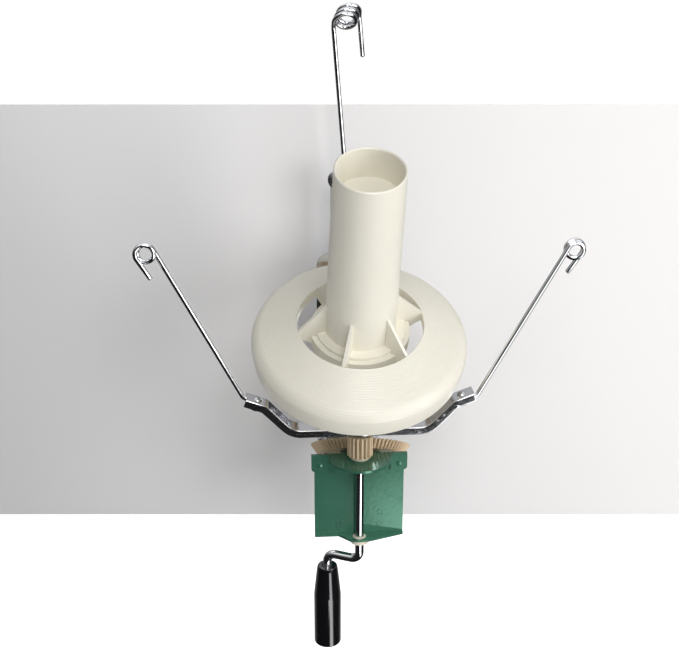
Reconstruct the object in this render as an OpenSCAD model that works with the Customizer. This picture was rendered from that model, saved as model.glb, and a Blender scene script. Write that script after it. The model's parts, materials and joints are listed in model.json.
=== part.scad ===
/* [Crank] */
// Diameter of the rod that makes the shaft, the arm, the grip pin and the tilted spindle
rod_d = 6; // [5:0.5:6.5]
// Throw of the crank, from the shaft's axis to the grip's axis
crank_throw = 23.5; // [20:0.5:26]
// Direction of the arm at rest, turned from the right-hand side
crank_angle = 155; // [90:5:180]
// Depth of the arm's axis under the top of the bearing plate
arm_depth = 77.5; // [77:0.5:85]
// Centre-line radius of the two bends of the crank
bend_r = 6; // [5:0.5:8]
// Length of the grip
grip_len = 62; // [50:1:80]
// Largest diameter of the grip
grip_d = 18.8; // [16:0.2:20]
// Diameter of the grip's top end
grip_top_d = 13.6; // [12:0.2:15]
// Length of the grip's taper
grip_taper = 23; // [15:1:35]

/* [Bobbin] */
// Lean of the spindle and the bobbin from the shaft
lean = 27.1; // [24:0.1:28]
// Height of the spindle's bend above the bearing plate
pivot_h = 100.2; // [98:0.2:106]
// Distance from the spindle's bend to the tube's mouth
tube_top = 113.4; // [100:1:125]
// Outer diameter of the tube at its mouth
tube_mouth_d = 41.6; // [38:0.2:43]
// Outer diameter of the tube at its foot
tube_foot_d = 45.2; // [44:0.2:46]
// Wall of the tube
tube_wall = 1.6; // [1.2:0.1:2]
// Depth of the bridge under the mouth
bridge_depth = 30; // [26:1:34]
// Depth of the floor under the mouth
plug_depth = 20.5; // [14:0.5:21]
// Diameter of the flange's inner hole
hole_d = 80.4; // [76:0.2:84]
// Outer diameter of the flange
flange_d = 139.2; // [130:0.2:142]
// Depth of the flange's inner edge under the spindle's bend
hole_depth = 7.1; // [6:0.1:9]
// Fall of the flange's cone from its inner edge to its rim
cone_fall = 12; // [9:0.5:14]
// Height of the skirt under the rim
skirt_h = 22; // [14:0.5:24]
// Wall of the flange
flange_wall = 2.2; // [1.8:0.1:2.6]
// Number of grooves in the flange's cone
groove_count = 8; // [5:1:8]
// Distance from groove to groove
groove_pitch = 2.1; // [1.6:0.1:2.1]
// Number of ribs between the tube and the flange
rib_count = 6; // [3:1:8]
// Thickness of a rib
rib_t = 2; // [1.5:0.1:3]
// Height of the ribs' upper ends above the spindle's bend
rib_top = 11.5; // [8:0.5:16]

/* [Gears] */
// Module of the pinion and the wheel
gear_module = 0.9; // [0.85:0.01:0.92]
// Teeth of the pinion
pinion_teeth = 17; // [15:1:18]
// Teeth of the wheel
wheel_teeth = 70; // [66:1:72]
// Tilt of the wheel away from the crank's side
wheel_tilt = 34.5; // [30:0.5:35]
// Direction of the wheel from the shaft, turned from straight behind it
wheel_bearing = -5.5; // [-8:0.5:8]
// Height of the wheel's face above the bearing plate, to its middle
wheel_level = 6.8; // [6.5:0.1:8]
// Thickness of the wheel
wheel_t = 6.2; // [5:0.1:6.6]
// Height of the pinion's toothed length
pinion_len = 14.4; // [12:0.2:14.8]
// Teeth of the fixed gear that the bobbin's ring rolls round
sun_teeth = 15; // [14:1:16]
// Teeth of the ring in the bobbin
ring_teeth = 28; // [26:1:30]
// Depth of the ring's upper face under the spindle's bend
ring_depth = 14; // [13.5:0.5:15]
// Thickness of the ring
ring_t = 5.5; // [4:0.5:6]

/* [Frame] */
// Width of the frame
frame_w = 60; // [56:1:66]
// Sheet thickness of the frame, the bearing plate and the wheel bracket
sheet = 1.6; // [1.2:0.1:2]
// Distance from the shaft's axis to the front of the web
web_gap = 5; // [4.8:0.1:6]
// Depth of the frame's foot under the top of the bearing plate
frame_h = 59.3; // [55:0.1:60]
// Radius of the bearing plate's nose
nose_r = 20.8; // [16:0.2:24]
// Width of the bearing plate over its ears
ears_w = 64; // [60:1:70]
// Depth of the bearing plate's folded ears
ear_h = 12.1; // [9:0.1:13]

/* [Clamp] */
// Height of the bearing plate's top above the table
deck_h = 38.5; // [38.5:0.1:42]
// Thickness of the clamp's bar
clamp_t = 4; // [3:0.1:4.2]
// Width of the clamp's bar
clamp_w = 40; // [30:1:50]
// Clear height between the table face and the lower jaw
jaw_gap = 27.5; // [24:0.5:28]
// Distance from the shaft's axis to the edge of the table
table_y = 54; // [50:1:58]
// Distance from the shaft's axis to the clamp screw's axis
screw_y = 82; // [78:1:86]
// Thread diameter of the clamp screw
screw_d = 8; // [6:0.5:10]
// Pitch of the clamp screw's thread
screw_pitch = 1.25; // [1:0.25:2]
// Travel of the clamp screw
screw_travel = 22; // [16:0.5:22]
// Diameter of the clamp pad
pad_d = 20; // [14:1:26]
// Thickness of the clamp pad
pad_t = 4; // [3:0.5:5]
// Length of the tommy bar
tommy_len = 40; // [30:1:42]

/* [Guides] */
// Sheet thickness of the guide bar, the back arm and the back plate
bar_t = 1.5; // [1.2:0.1:1.6]
// Depth of the guide bar from its front to its back edge
bar_depth = 13; // [12.5:0.5:16]
// Height of the guide bar's folded front edge
bar_h = 5.3; // [4:0.1:5.4]
// Height of the guide bar's top above the bearing plate
bar_level = 23; // [22.8:0.1:24]
// Half length of the bar's level middle
bar_level_x = 43.5; // [40:0.5:46]
// Distance from the shaft to the upper bend of each raised end
bar_bend_x = 60.5; // [58:0.5:62]
// Distance from the shaft to each tip
bar_tip_x = 73.5; // [72:0.5:76]
// Rise of each raised end from the level middle to its upper bend
bar_rise = 17.7; // [15:0.1:19]
// Rise of each tip from the upper bend
tip_rise = 4.9; // [4:0.1:7]
// Distance from the shaft to each tip screw
tip_screw_x = 66; // [65:0.2:67]
// Diameter of the guide rods
guide_d = 3.2; // [2.5:0.1:3.4]
// Mean radius of the side guides' eyes where their first turn begins
eye_r = 4.9; // [4.5:0.1:7]
// Growth of the eye's radius from its first turn to its last
eye_grow = 0.9; // [0:0.1:1.5]
// Turns of wire in a side eye
eye_turns = 1.5; // [1.5:1:2.5]
// Distance from turn to turn in an eye
eye_pitch = 3.7; // [3.7:0.1:4.5]
// Height of the side eyes above the bearing plate
side_eye_h = 140; // [120:1:160]
// Distance from the shaft to each side eye
side_eye_x = 132.5; // [120:0.5:145]
// Swing of both side rods about their screws
rod_swing = 4; // [-5:0.5:5]
// Length of the wire's free end past a side eye
tail_len = 15.5; // [8:0.5:20]
// Height of the back eye above the bearing plate
back_eye_h = 270; // [240:1:290]
// Mean radius of the back eye
back_eye_r = 7; // [5:0.1:8]
// Turns of wire in the back eye
back_turns = 2.5; // [1.5:1:2.5]
// Distance from turn to turn in the back eye
back_pitch = 4.2; // [3.7:0.1:4.5]
// Sideways lean of the back eye for each turn
back_lean = 1.6; // [0:0.1:1.8]
// Length of the wire's free end past the back eye
back_tail_len = 27; // [10:0.5:30]
// Upward tilt of the back eye's axis
back_eye_tilt = 40; // [30:5:60]
// Distance from the shaft to the back plate
back_y = 104; // [102:0.5:112]
// Width of the back plate
back_w = 45.4; // [40:0.2:50]
// Height of the back plate's shoulders above the bearing plate
shoulder_h = 110.4; // [90:0.2:120]
// Height of the back plate's tongue above the bearing plate
tongue_h = 171; // [150:1:180]

/* [Hidden] */
$fn = 64;
// Radial clearance of a turning fit
run = 0.05;
// Axial clearance between turning faces
gap = 0.1;
// Radial clearance of a screw in its hole
loose = 0.15;
// Overlap that joins two shapes of one piece
bite = 0.2;
// Reach of a cutting shape past the face that it cuts
past = 1;

rod_r = rod_d / 2;
web_back = web_gap + sheet;
jaw_top = clamp_t - deck_h;

// Bushes in the frame
bush_wall = 1.5;
bush_collar_r = rod_r + 3.5;
bush_collar_t = 1;
lower_bush_t = 2.4;

// Lengths along the shaft, from the bearing plate's top
pinion_z = bush_collar_t + gap;
pinion_hub_h = 0.9;
pinion_teeth_z = pinion_z + pinion_hub_h;

// Lengths along the spindle, from its bend
spindle_len = tube_top - bridge_depth + 5;
thrust_l = 0.6;
thrust_t = 1.4;
collar_r = 5;
floor_l = thrust_l + thrust_t + gap + 1;
floor_t = 3;
sleeve_l = 13;
sleeve_r = 6.6;
bridge_t = 2.5;
bridge_l = tube_top - bridge_depth;
bobbin_bush_r = rod_r + 1.6;
hub_step_l = -ring_depth + 3;
hub_lip_l = -ring_depth + 0.8;
cup_wall = 2;

// Bevel pair: both cones have their points at the spindle's bend
ratio_sun = sun_teeth / ring_teeth;
sun_cone = atan2(ratio_sun * sin(lean), 1 - ratio_sun * cos(lean));
ring_cone = sun_cone + lean;
ring_big = ring_depth + ring_t;
cone_small = ring_depth / cos(ring_cone);
cone_big = ring_big / cos(ring_cone);
sun_big_r = cone_big * sin(sun_cone);
ring_big_r = ring_big * tan(ring_cone);
bevel_module = 2 * ring_big_r / ring_teeth;
bevel_add = 0.62;
bevel_ded = 0.92;
ring_out_r = ring_big_r + bevel_ded * bevel_module / cos(ring_cone) + 2;
cup_r = ring_out_r + cup_wall;

// Wheel: its tooth line at the mesh is parallel to the shaft
pinion_r = gear_module * pinion_teeth / 2;
wheel_r = gear_module * wheel_teeth / 2;
wheel_apex = wheel_r / tan(wheel_tilt);
wheel_y = pinion_r + wheel_r * cos(wheel_tilt);
wheel_z = wheel_level - wheel_r * sin(wheel_tilt);
wheel_axle_r = 3;
washer_t = 1;
axle_head_t = 1.6;
axle_head_r = 5;
tongue_top = -wheel_t / 2 - washer_t - 2 * gap;
m6_nut_r = 5.5;
m6_nut_t = 3.4;

// Screws
tip_screw_r = 1.75;
tip_head_r = 3;
tip_head_h = 1.9;
m4_nut_r = 3.6;
m4_nut_t = 2.4;
m4_r = 2;
bracket_rivet_r = 1.6;
foot_loop_r = tip_screw_r + guide_d / 2 + 0.1;
tip_slope = atan2(tip_rise, bar_tip_x - bar_bend_x);
bar_front = -6;
tip_screw_y = bar_front + bar_t + foot_loop_r + guide_d / 2 + 0.25;
hub_screw_x = 11;
hub_r = 14.5;

// Directions along the tip of the guide bar
tip_out = [cos(tip_slope), 0, sin(tip_slope)];
tip_up = [-sin(tip_slope), 0, cos(tip_slope)];
tip_seat = [tip_screw_x, tip_screw_y, bar_level + bar_rise + (tip_screw_x - bar_bend_x) * tan(tip_slope)];

function unit(v) = v / norm(v);
// Arc that rounds the corner b of the line a, b, c with radius r in n steps
function bend(a, b, c, r, n) =
    let (
        u = unit(a - b), v = unit(c - b),
        half = acos(u * v) / 2,
        mid = b + unit(u + v) * r / sin(half),
        p = b + u * r / tan(half) - mid,
        q = b + v * r / tan(half) - mid,
        turn = 180 - 2 * half
    )
    [for (i = [0:n]) mid + (p * sin((1 - i / n) * turn) + q * sin(i / n * turn)) / sin(turn)];
function tangents(p) =
    [for (i = [0:len(p) - 1]) unit(p[min(i + 1, len(p) - 1)] - p[max(i - 1, 0)])];
function carried(t, n, i = 0) =
    i == len(t) ? [] : let (m = unit(n - (n * t[i]) * t[i])) concat([m], carried(t, m, i + 1));

// Round wire of radius r along the points p
module wire(p, r, sides = 12) {
    t = tangents(p);
    n = carried(t, cross(t[0], abs(t[0].z) < 0.9 ? [0, 0, 1] : [0, 1, 0]));
    last = len(p) - 1;
    points = [for (i = [0:last]) for (k = [0:sides - 1])
        p[i] + r * (n[i] * cos(360 * k / sides) + cross(t[i], n[i]) * sin(360 * k / sides))];
    sides_a = [for (i = [0:last - 1]) for (k = [0:sides - 1])
        [i * sides + k, (i + 1) * sides + k, i * sides + (k + 1) % sides]];
    sides_b = [for (i = [0:last - 1]) for (k = [0:sides - 1])
        [i * sides + (k + 1) % sides, (i + 1) * sides + k, (i + 1) * sides + (k + 1) % sides]];
    cap_a = [for (k = [1:sides - 2]) [0, k, k + 1]];
    cap_b = [for (k = [1:sides - 2]) [last * sides, last * sides + k + 1, last * sides + k]];
    polyhedron(points, concat(sides_a, sides_b, cap_a, cap_b));
}

// Gear outline: n teeth on the pitch radius r, add outwards and ded inwards,
// each tooth a share wide at the pitch circle and leaning by flank on each side
module gear_outline(n, r, add, ded, share, flank) {
    half = 180 * share / n;
    function lean_by(h) = atan(h * tan(flank) / r);
    polygon([for (i = [0:n - 1]) each [
        let (a = i * 360 / n - half - lean_by(ded)) (r - ded) * [cos(a), sin(a)],
        let (a = i * 360 / n - half + lean_by(add)) (r + add) * [cos(a), sin(a)],
        let (a = i * 360 / n + half - lean_by(add)) (r + add) * [cos(a), sin(a)],
        let (a = i * 360 / n + half + lean_by(ded)) (r - ded) * [cos(a), sin(a)]
    ]]);
}

module ring(outer, inner, h) {
    difference() {
        cylinder(r = outer, h = h);
        translate([0, 0, -past]) cylinder(r = inner, h = h + 2 * past);
    }
}
module hex_nut(outer, inner, h) {
    difference() {
        cylinder(r = outer, h = h, $fn = 6);
        translate([0, 0, -past]) cylinder(r = inner, h = h + 2 * past);
    }
}
module domed_head(r, h) {
    rotate_extrude() intersection() {
        translate([0, h - (r * r + h * h) / (2 * h)]) circle(r = (r * r + h * h) / (2 * h), $fn = 96);
        square([r + past, h + past]);
    }
}
module both_sides(x) for (s = [-1, 1]) translate([s * x, 0, 0]) children();

// The model is drawn from the shaft's axis and the bearing plate's top.
// Its origin is on the table face, on the axis of the clamp screw.
module placed() translate([0, -screw_y, deck_h]) children();
module on_spindle() translate([0, 0, pivot_h]) rotate([lean, 0, 0]) children();
module on_wheel()
    rotate([0, 0, wheel_bearing]) translate([0, wheel_y, wheel_z]) rotate([-wheel_tilt, 0, 0]) children();

module frame() {
    painted() {
        difference() {
            translate([-frame_w / 2, web_gap, -frame_h - sheet]) cube([frame_w, sheet, frame_h]);
            rivet_places() rotate([-90, 0, 0])
                translate([0, 0, web_gap - past]) cylinder(r = bracket_rivet_r + loose, h = sheet + 2 * past);
            base_rivet_places() rotate([-90, 0, 0])
                translate([0, 0, web_gap - past]) cylinder(r = bracket_rivet_r + loose, h = sheet + 2 * past);
            ear_places() rotate([-90, 0, 0])
                translate([0, 0, web_gap - past]) cylinder(r = rivet_r + loose, h = sheet + 2 * past);
        }
        difference() {
            translate([0, 0, -frame_h - sheet]) linear_extrude(sheet) polygon([
                [-frame_w / 2, foot_side], [-foot_nose_x - 3, foot_side],
                [-0.6 * foot_nose_x, foot_nose + 0.9], [-0.2 * foot_nose_x, foot_nose], [foot_nose_x / 2, foot_nose], [frame_w / 2, foot_side],
                [frame_w / 2, web_back], [-frame_w / 2, web_back]
            ]);
            translate([0, 0, -frame_h - sheet - past])
                cylinder(r = rod_r + bush_wall, h = sheet + 2 * past);
        }
    }
}
foot_side = web_gap - 2;
foot_nose = -rod_r - bush_wall - 1;
foot_nose_x = 11;
rivet_r = 1.5;
rivet_head = 0.4;
module ivory() color([0.93, 0.92, 0.84]) children();
module painted() color([0.33, 0.55, 0.45]) children();
module chromed() color([0.8, 0.82, 0.85]) children();
module plated() color([0.72, 0.74, 0.76]) children();
module rivet_places() both_sides(18.5) translate([0, 0, -bracket_h / 2 - 2]) children();
module ear_places() both_sides(ears_w / 2 - 5.5) translate([0, 0, -ear_h / 2 - 1]) children();

module bearing_plate() {
    painted() difference() {
        union() {
            translate([0, 0, -sheet]) linear_extrude(sheet) union() {
                circle(r = nose_r);
                translate([-nose_r, 0]) square([2 * nose_r, web_back]);
                translate([-ears_w / 2, web_gap - sheet]) square([ears_w, 2 * sheet]);
            }
            for (s = [-1, 1]) translate([s > 0 ? nose_r : -ears_w / 2, web_gap, 0])
                rotate([90, 0, 0]) linear_extrude(sheet)
                    mirror([s > 0 ? 0 : 1, 0]) translate([s > 0 ? 0 : -(ears_w / 2 - nose_r), 0])
                        ear_outline(ears_w / 2 - nose_r);
        }
        translate([-ears_w, web_back, -ear_h]) cube([2 * ears_w, 2 * nose_r, 2 * ear_h]);
        translate([0, 0, -sheet - past]) cylinder(r = rod_r + bush_wall, h = sheet + 2 * past);
        ear_places() rotate([-90, 0, 0]) cylinder(r = rivet_r + loose, h = web_gap + past);
    }
}
// One folded ear, with its lower outer corner rounded
module ear_outline(w) {
    corner = 3;
    difference() {
        translate([0, -ear_h]) square([w, ear_h]);
        translate([w - corner, -ear_h - past]) square([corner + past, corner + past]);
    }
    translate([w - corner, -ear_h + corner]) circle(r = corner);
}
// Rivets through the ears and the web
module plate_rivets() {
    painted() ear_places() {
        translate([0, web_gap - sheet - 0.01, 0]) rotate([90, 0, 0]) domed_head(2, rivet_head);
        translate([0, web_gap - sheet, 0]) rotate([-90, 0, 0]) cylinder(r = rivet_r, h = 2 * sheet);
        translate([0, web_back, 0]) rotate([-90, 0, 0]) domed_head(2, rivet_head);
    }
}
module bush_body() {
    difference() {
        union() {
            translate([0, 0, -sheet]) cylinder(r = rod_r + bush_wall - run / 2, h = sheet);
            children();
        }
        translate([0, 0, -sheet - lower_bush_t - past])
            cylinder(r = rod_r + run, h = sheet + lower_bush_t + 3 * past);
    }
}
module upper_bush() color([0.93, 0.9, 0.82]) bush_body() cylinder(r = bush_collar_r, h = bush_collar_t);
module lower_bush() color([0.93, 0.9, 0.82])
    translate([0, 0, -frame_h]) bush_body()
        translate([0, 0, -sheet - lower_bush_t]) cylinder(r = rod_r + 3, h = lower_bush_t);

module elbow() translate([bend_r, 0, bend_r]) rotate([90, 0, 0])
    rotate_extrude(angle = 90) translate([-bend_r, 0]) circle(r = rod_r);
module crank() {
    arm_z = -arm_depth;
    pin_end = arm_z - bend_r - grip_start - grip_len + 4;
    chromed() difference() {
        union() {
            translate([0, 0, arm_z + bend_r - 0.01]) cylinder(r = rod_r, h = pivot_h - arm_z - bend_r + 0.01);
            translate([0, 0, pivot_h]) sphere(r = rod_r);
            on_spindle() cylinder(r = rod_r, h = spindle_len);
            rotate([0, 0, crank_angle]) translate([0, 0, arm_z]) {
                translate([bend_r, 0, bend_r]) rotate([90, 0, 0])
                    rotate_extrude_from(180) circle(r = rod_r);
                translate([bend_r - 0.01, 0, 0]) rotate([0, 90, 0])
                    cylinder(r = rod_r, h = crank_throw - 2 * bend_r + 0.02);
                translate([crank_throw - bend_r, 0, -bend_r]) rotate([90, 0, 0])
                    rotate_extrude_from(0) circle(r = rod_r);
            }
            rotate([0, 0, crank_angle]) translate([crank_throw, 0, pin_end])
                cylinder(r = rod_r, h = arm_z - bend_r - pin_end + 0.01);
        }
        pin_hole();
    }
}
// A quarter of a bend, begun at angle a
module rotate_extrude_from(a) rotate([0, 0, a]) rotate_extrude(angle = 90) translate([bend_r, 0]) children();
grip_start = 3.4;
grip_z = -arm_depth - bend_r - grip_start;
drive_pin_r = 1;
pin_z = pinion_teeth_z + pinion_len / 2;
module pin_hole() translate([-pinion_r, 0, pin_z]) rotate([0, 90, 0]) cylinder(r = drive_pin_r + 0.02, h = 2 * pinion_r);

module pinion() {
    color([0.8, 0.7, 0.55]) difference() {
        union() {
            translate([0, 0, pinion_z]) cylinder(r = pinion_r - gear_module * 1.25, h = pinion_hub_h + bite);
            translate([0, 0, pinion_teeth_z]) linear_extrude(pinion_len) rotate(90 + wheel_bearing)
                gear_outline(pinion_teeth, pinion_r, 0.92 * gear_module, 1.2 * gear_module, 0.44, 20);
        }
        translate([0, 0, pinion_z - past]) cylinder(r = rod_r + 0.01, h = pinion_len + 4);
        pin_hole();
    }
}
module pinion_pin() plated()
    translate([-pinion_r + 2 * gear_module, 0, pin_z]) rotate([0, 90, 0])
        cylinder(r = drive_pin_r, h = 2 * (pinion_r - 2 * gear_module));
module thrust_collar() plated() on_spindle() translate([0, 0, thrust_l]) ring(collar_r, rod_r, thrust_t);
module spindle_cap() {
    cap_l = bridge_l + bush_collar_t + 2 * gap;
    plated() on_spindle() difference() {
        translate([0, 0, cap_l]) rotate_extrude() polygon([
            [0, 0], [collar_r, 0], [collar_r, 2.2], [collar_r - 1.2, 4], [collar_r - 3, 4.8], [0, 4.8]
        ]);
        cylinder(r = rod_r, h = spindle_len + 0.01);
    }
}
module at_grip() rotate([0, 0, crank_angle]) translate([crank_throw, 0, grip_z]) children();
module grip_washer() plated() at_grip() translate([0, 0, -grip_len + 5]) ring(collar_r, rod_r, 1);
module grip() {
    r = grip_d / 2;
    recess = 6.2;
    edge = 1.2;
    color([0.06, 0.06, 0.07]) at_grip() difference() {
        rotate_extrude() polygon(concat(
            [[0, 0], [grip_top_d / 2 - 1, 0], [grip_top_d / 2, -1]],
            [[grip_top_d / 2 + 0.96 * (r - grip_top_d / 2), 1 - grip_taper], [r, -grip_taper - 1.5]],
            [for (i = [0:5]) [r - edge + edge * cos(18 * i), -grip_len + edge - edge * sin(18 * i)]],
            [[0, -grip_len]]
        ));
        translate([0, 0, -grip_len - past]) cylinder(r = rod_r + run, h = grip_len + 2 * past);
        translate([0, 0, -grip_len - past]) cylinder(r = collar_r + 0.6, h = recess + past);
    }
}

module wheel() {
    low = wheel_r * (wheel_apex - wheel_t / 2) / wheel_apex;
    grow = (wheel_apex + wheel_t / 2) / (wheel_apex - wheel_t / 2);
    module_low = gear_module * low / wheel_r;
    web = 3;
    rim = 3.4;
    color([0.8, 0.7, 0.55]) on_wheel() difference() {
        translate([0, 0, -wheel_t / 2]) linear_extrude(wheel_t, scale = grow) rotate(-90 + 180 / wheel_teeth)
            gear_outline(wheel_teeth, low, 0.78 * module_low, 1.3 * module_low, 0.385, 20);
        for (z = [-wheel_t / 2 - past, web / 2]) translate([0, 0, z]) difference() {
            cylinder(r = low - module_low - rim, h = wheel_t / 2 - web / 2 + past);
            cylinder(r = axle_head_r + 2.5, h = wheel_t);
        }
        translate([0, 0, -wheel_t]) cylinder(r = wheel_axle_r + run, h = 2 * wheel_t);
    }
}
module wheel_axle() {
    plated() on_wheel() {
        translate([0, 0, wheel_t / 2 + gap]) cylinder(r = axle_head_r, h = axle_head_t);
        translate([0, 0, tongue_top - sheet - m6_nut_t - 1])
            cylinder(r = wheel_axle_r, h = m6_nut_t + sheet + 1 - tongue_top + wheel_t / 2 + gap + bite);
    }
}
module wheel_washer() plated() on_wheel()
    translate([0, 0, -wheel_t / 2 - gap - washer_t]) ring(axle_head_r + 1, wheel_axle_r + run, washer_t);
module wheel_nut() plated() on_wheel()
    translate([0, 0, tongue_top - sheet - m6_nut_t]) hex_nut(m6_nut_r, wheel_axle_r + 0.01, m6_nut_t);
bracket_w = 44;
bracket_h = 20;
module wheel_bracket() {
    tongue_w = 26;
    reach = wheel_r - 3.5;
    painted() difference() {
        union() {
            translate([-bracket_w / 2, web_back, -bracket_h]) cube([bracket_w, sheet, bracket_h]);
            on_wheel() translate([-tongue_w / 2, -reach, tongue_top - sheet]) cube([tongue_w, reach, sheet]);
            on_wheel() translate([0, 0, tongue_top - sheet]) cylinder(r = tongue_w / 2, h = sheet);
        }
        translate([-bracket_w, -bracket_w, -sheet / 2]) cube([2 * bracket_w, 2 * bracket_w, bracket_h]);
        translate([-bracket_w, web_back - bracket_w, -bracket_w]) cube([2 * bracket_w, bracket_w, 2 * bracket_w]);
        on_wheel() translate([0, 0, -wheel_r]) cylinder(r = wheel_axle_r + 0.05, h = wheel_r);
        rivet_places() rotate([-90, 0, 0]) cylinder(r = bracket_rivet_r + loose, h = web_back + sheet + past);
    }
}
module bracket_rivets() painted() {
    rivet_places() rivet(2 * sheet);
    base_rivet_places() rivet(sheet + clamp_t);
}
// Rivet whose head lies flush with the web's front
module rivet(grip) {
    translate([0, web_gap, 0]) rotate([-90, 0, 0]) cylinder(r = bracket_rivet_r, h = grip + 0.01);
    translate([0, web_gap + grip, 0]) rotate([-90, 0, 0]) domed_head(2.4, rivet_head);
}

// Upper line of the guide bar's right half, and the same line set down by d
function bar_line(d) =
    let (
        rise = atan2(bar_rise, bar_bend_x - bar_level_x),
        z0 = bar_level - d,
        z1 = bar_level + bar_rise - d / cos(tip_slope),
        low = [bar_level_x + d * tan(rise / 2), 0, z0],
        zt = z1 + (bar_tip_x - bar_bend_x) * tan(tip_slope),
        high = [bar_bend_x + d * tan((rise + tip_slope) / 2) * cos(tip_slope), 0, 0],
        top = [high.x, 0, z1 + (high.x - bar_bend_x) * tan(tip_slope)],
        tip = [bar_tip_x + d * sin(tip_slope), 0, zt + d * sin(tip_slope) * tan(tip_slope)]
    )
    concat(
        bend([0, 0, z0], low, top, 12 + d, 5),
        bend(low, top, tip, 9 - d, 4),
        [tip]
    );
module bar_band(d) {
    right_top = [for (p = bar_line(0)) [p.x, p.z]];
    right_low = [for (p = bar_line(d)) [p.x, p.z]];
    n = len(right_top) - 1;
    polygon(concat(
        [for (i = [n:-1:0]) [-right_top[i].x, right_top[i].y]], right_top,
        [for (i = [n:-1:0]) right_low[i]], [for (i = [0:n]) [-right_low[i].x, right_low[i].y]]
    ));
}
module tip_place(s) translate([s * tip_seat.x, tip_seat.y, tip_seat.z]) rotate([0, -s * tip_slope, 0]) children();
module hub_holes(z, h) both_sides(hub_screw_x) translate([0, 0, z]) cylinder(r = m4_r + loose, h = h);
module guide_bar() {
    chromed() difference() {
        union() {
            translate([0, bar_front + bar_depth, 0]) rotate([90, 0, 0])
                linear_extrude(bar_depth) bar_band(bar_t);
            translate([0, bar_front + bar_t, 0]) rotate([90, 0, 0]) linear_extrude(bar_t) bar_band(bar_h);
            translate([0, 0, bar_level - bar_t]) cylinder(r = hub_r, h = bar_t);
        }
        translate([0, 0, bar_level - bar_h]) cylinder(r = rod_r + 1, h = 2 * bar_h);
        hub_holes(bar_level - bar_t - past, 2 * bar_h);
        for (s = [-1, 1]) tip_place(s) translate([0, 0, -bar_h]) cylinder(r = tip_screw_r + loose, h = 2 * bar_h);
    }
}
arm_w = 18;
arm_edge = 5;
arm_tab_h = 24;
module back_arm() {
    z = bar_level - 2 * bar_t;
    y0 = hub_r + 4;
    y1 = back_y - 2 * bar_t - 1;
    chromed() difference() {
        union() {
            translate([0, 0, z]) cylinder(r = hub_r, h = bar_t);
            translate([-arm_w / 2, 0, z]) cube([arm_w, back_y, bar_t]);
            for (x = [-arm_w / 2, arm_w / 2 - bar_t]) translate([x, y0, z - arm_edge])
                cube([bar_t, y1 - y0, arm_edge + bite]);
            translate([-arm_w / 2, back_y - bar_t, z]) cube([arm_w, bar_t, arm_tab_h]);
        }
        translate([-hub_r, bar_front - hub_r, z - past]) cube([2 * hub_r, hub_r + bar_t, bar_t + 2 * past]);
        translate([0, 0, z - past]) cylinder(r = rod_r + 1, h = bar_t + 2 * past);
        hub_holes(z - past, bar_t + 2 * past);
        arm_bolt_places() rotate([90, 0, 0]) translate([0, 0, -past]) cylinder(r = m4_r + loose, h = 3 * bar_t);
    }
}
module arm_bolt_places() for (z = [9, 18]) translate([0, back_y, bar_level - 2 * bar_t + z]) children();
foot_depth = 22;
foot_screw_x = 13;
module foot_places() both_sides(foot_screw_x) translate([0, back_y - foot_depth / 2, jaw_top]) children();
back_loop = m4_r + guide_d / 2 + 2;
back_screw_x = -7.4;
back_screw_z = tongue_h - 6.4;
module back_plate() {
    corner = 9;
    tongue_left = 12.5;
    tongue_right = 7;
    tip_corner = 4;
    chromed() difference() {
        union() {
            translate([0, back_y + bar_t, 0]) rotate([90, 0, 0]) linear_extrude(bar_t) {
                difference() {
                    translate([-back_w / 2, jaw_top]) square([back_w, shoulder_h - jaw_top]);
                    for (s = [-1, 1]) translate([s * (back_w / 2 - corner / 2), shoulder_h - corner / 2])
                        square([corner + 0.02, corner + 0.02], center = true);
                }
                for (s = [-1, 1]) translate([s * (back_w / 2 - corner), shoulder_h - corner]) circle(r = corner);
                translate([-tongue_left, shoulder_h - past])
                    square([tongue_left + tongue_right, tongue_h - tip_corner - shoulder_h + past]);
                translate([-tongue_left + tip_corner, tongue_h - tip_corner - past])
                    square([tongue_left + tongue_right - 2 * tip_corner, tip_corner + past]);
                for (x = [tip_corner - tongue_left, tongue_right - tip_corner])
                    translate([x, tongue_h - tip_corner]) circle(r = tip_corner);
            }
            translate([-back_w / 2, back_y - foot_depth, jaw_top]) cube([back_w, foot_depth + bar_t, bar_t]);
        }
        arm_bolt_places() rotate([90, 0, 0]) translate([0, 0, -3 * bar_t]) cylinder(r = m4_r + loose, h = 4 * bar_t);
        foot_places() translate([0, 0, -past]) cylinder(r = m4_r + loose, h = bar_t + 2 * past);
        translate([back_screw_x, back_y - past, back_screw_z]) rotate([-90, 0, 0])
            cylinder(r = m4_r + loose, h = bar_t + 2 * past);
    }
}

sun_top = pivot_h - cone_small * cos(sun_cone);
sun_low = pivot_h - cone_big * cos(sun_cone);
sun_add = bevel_add * bevel_module / cos(sun_cone);
sun_ded = bevel_ded * bevel_module / cos(sun_cone);
sun_neck_r = 6;
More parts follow.
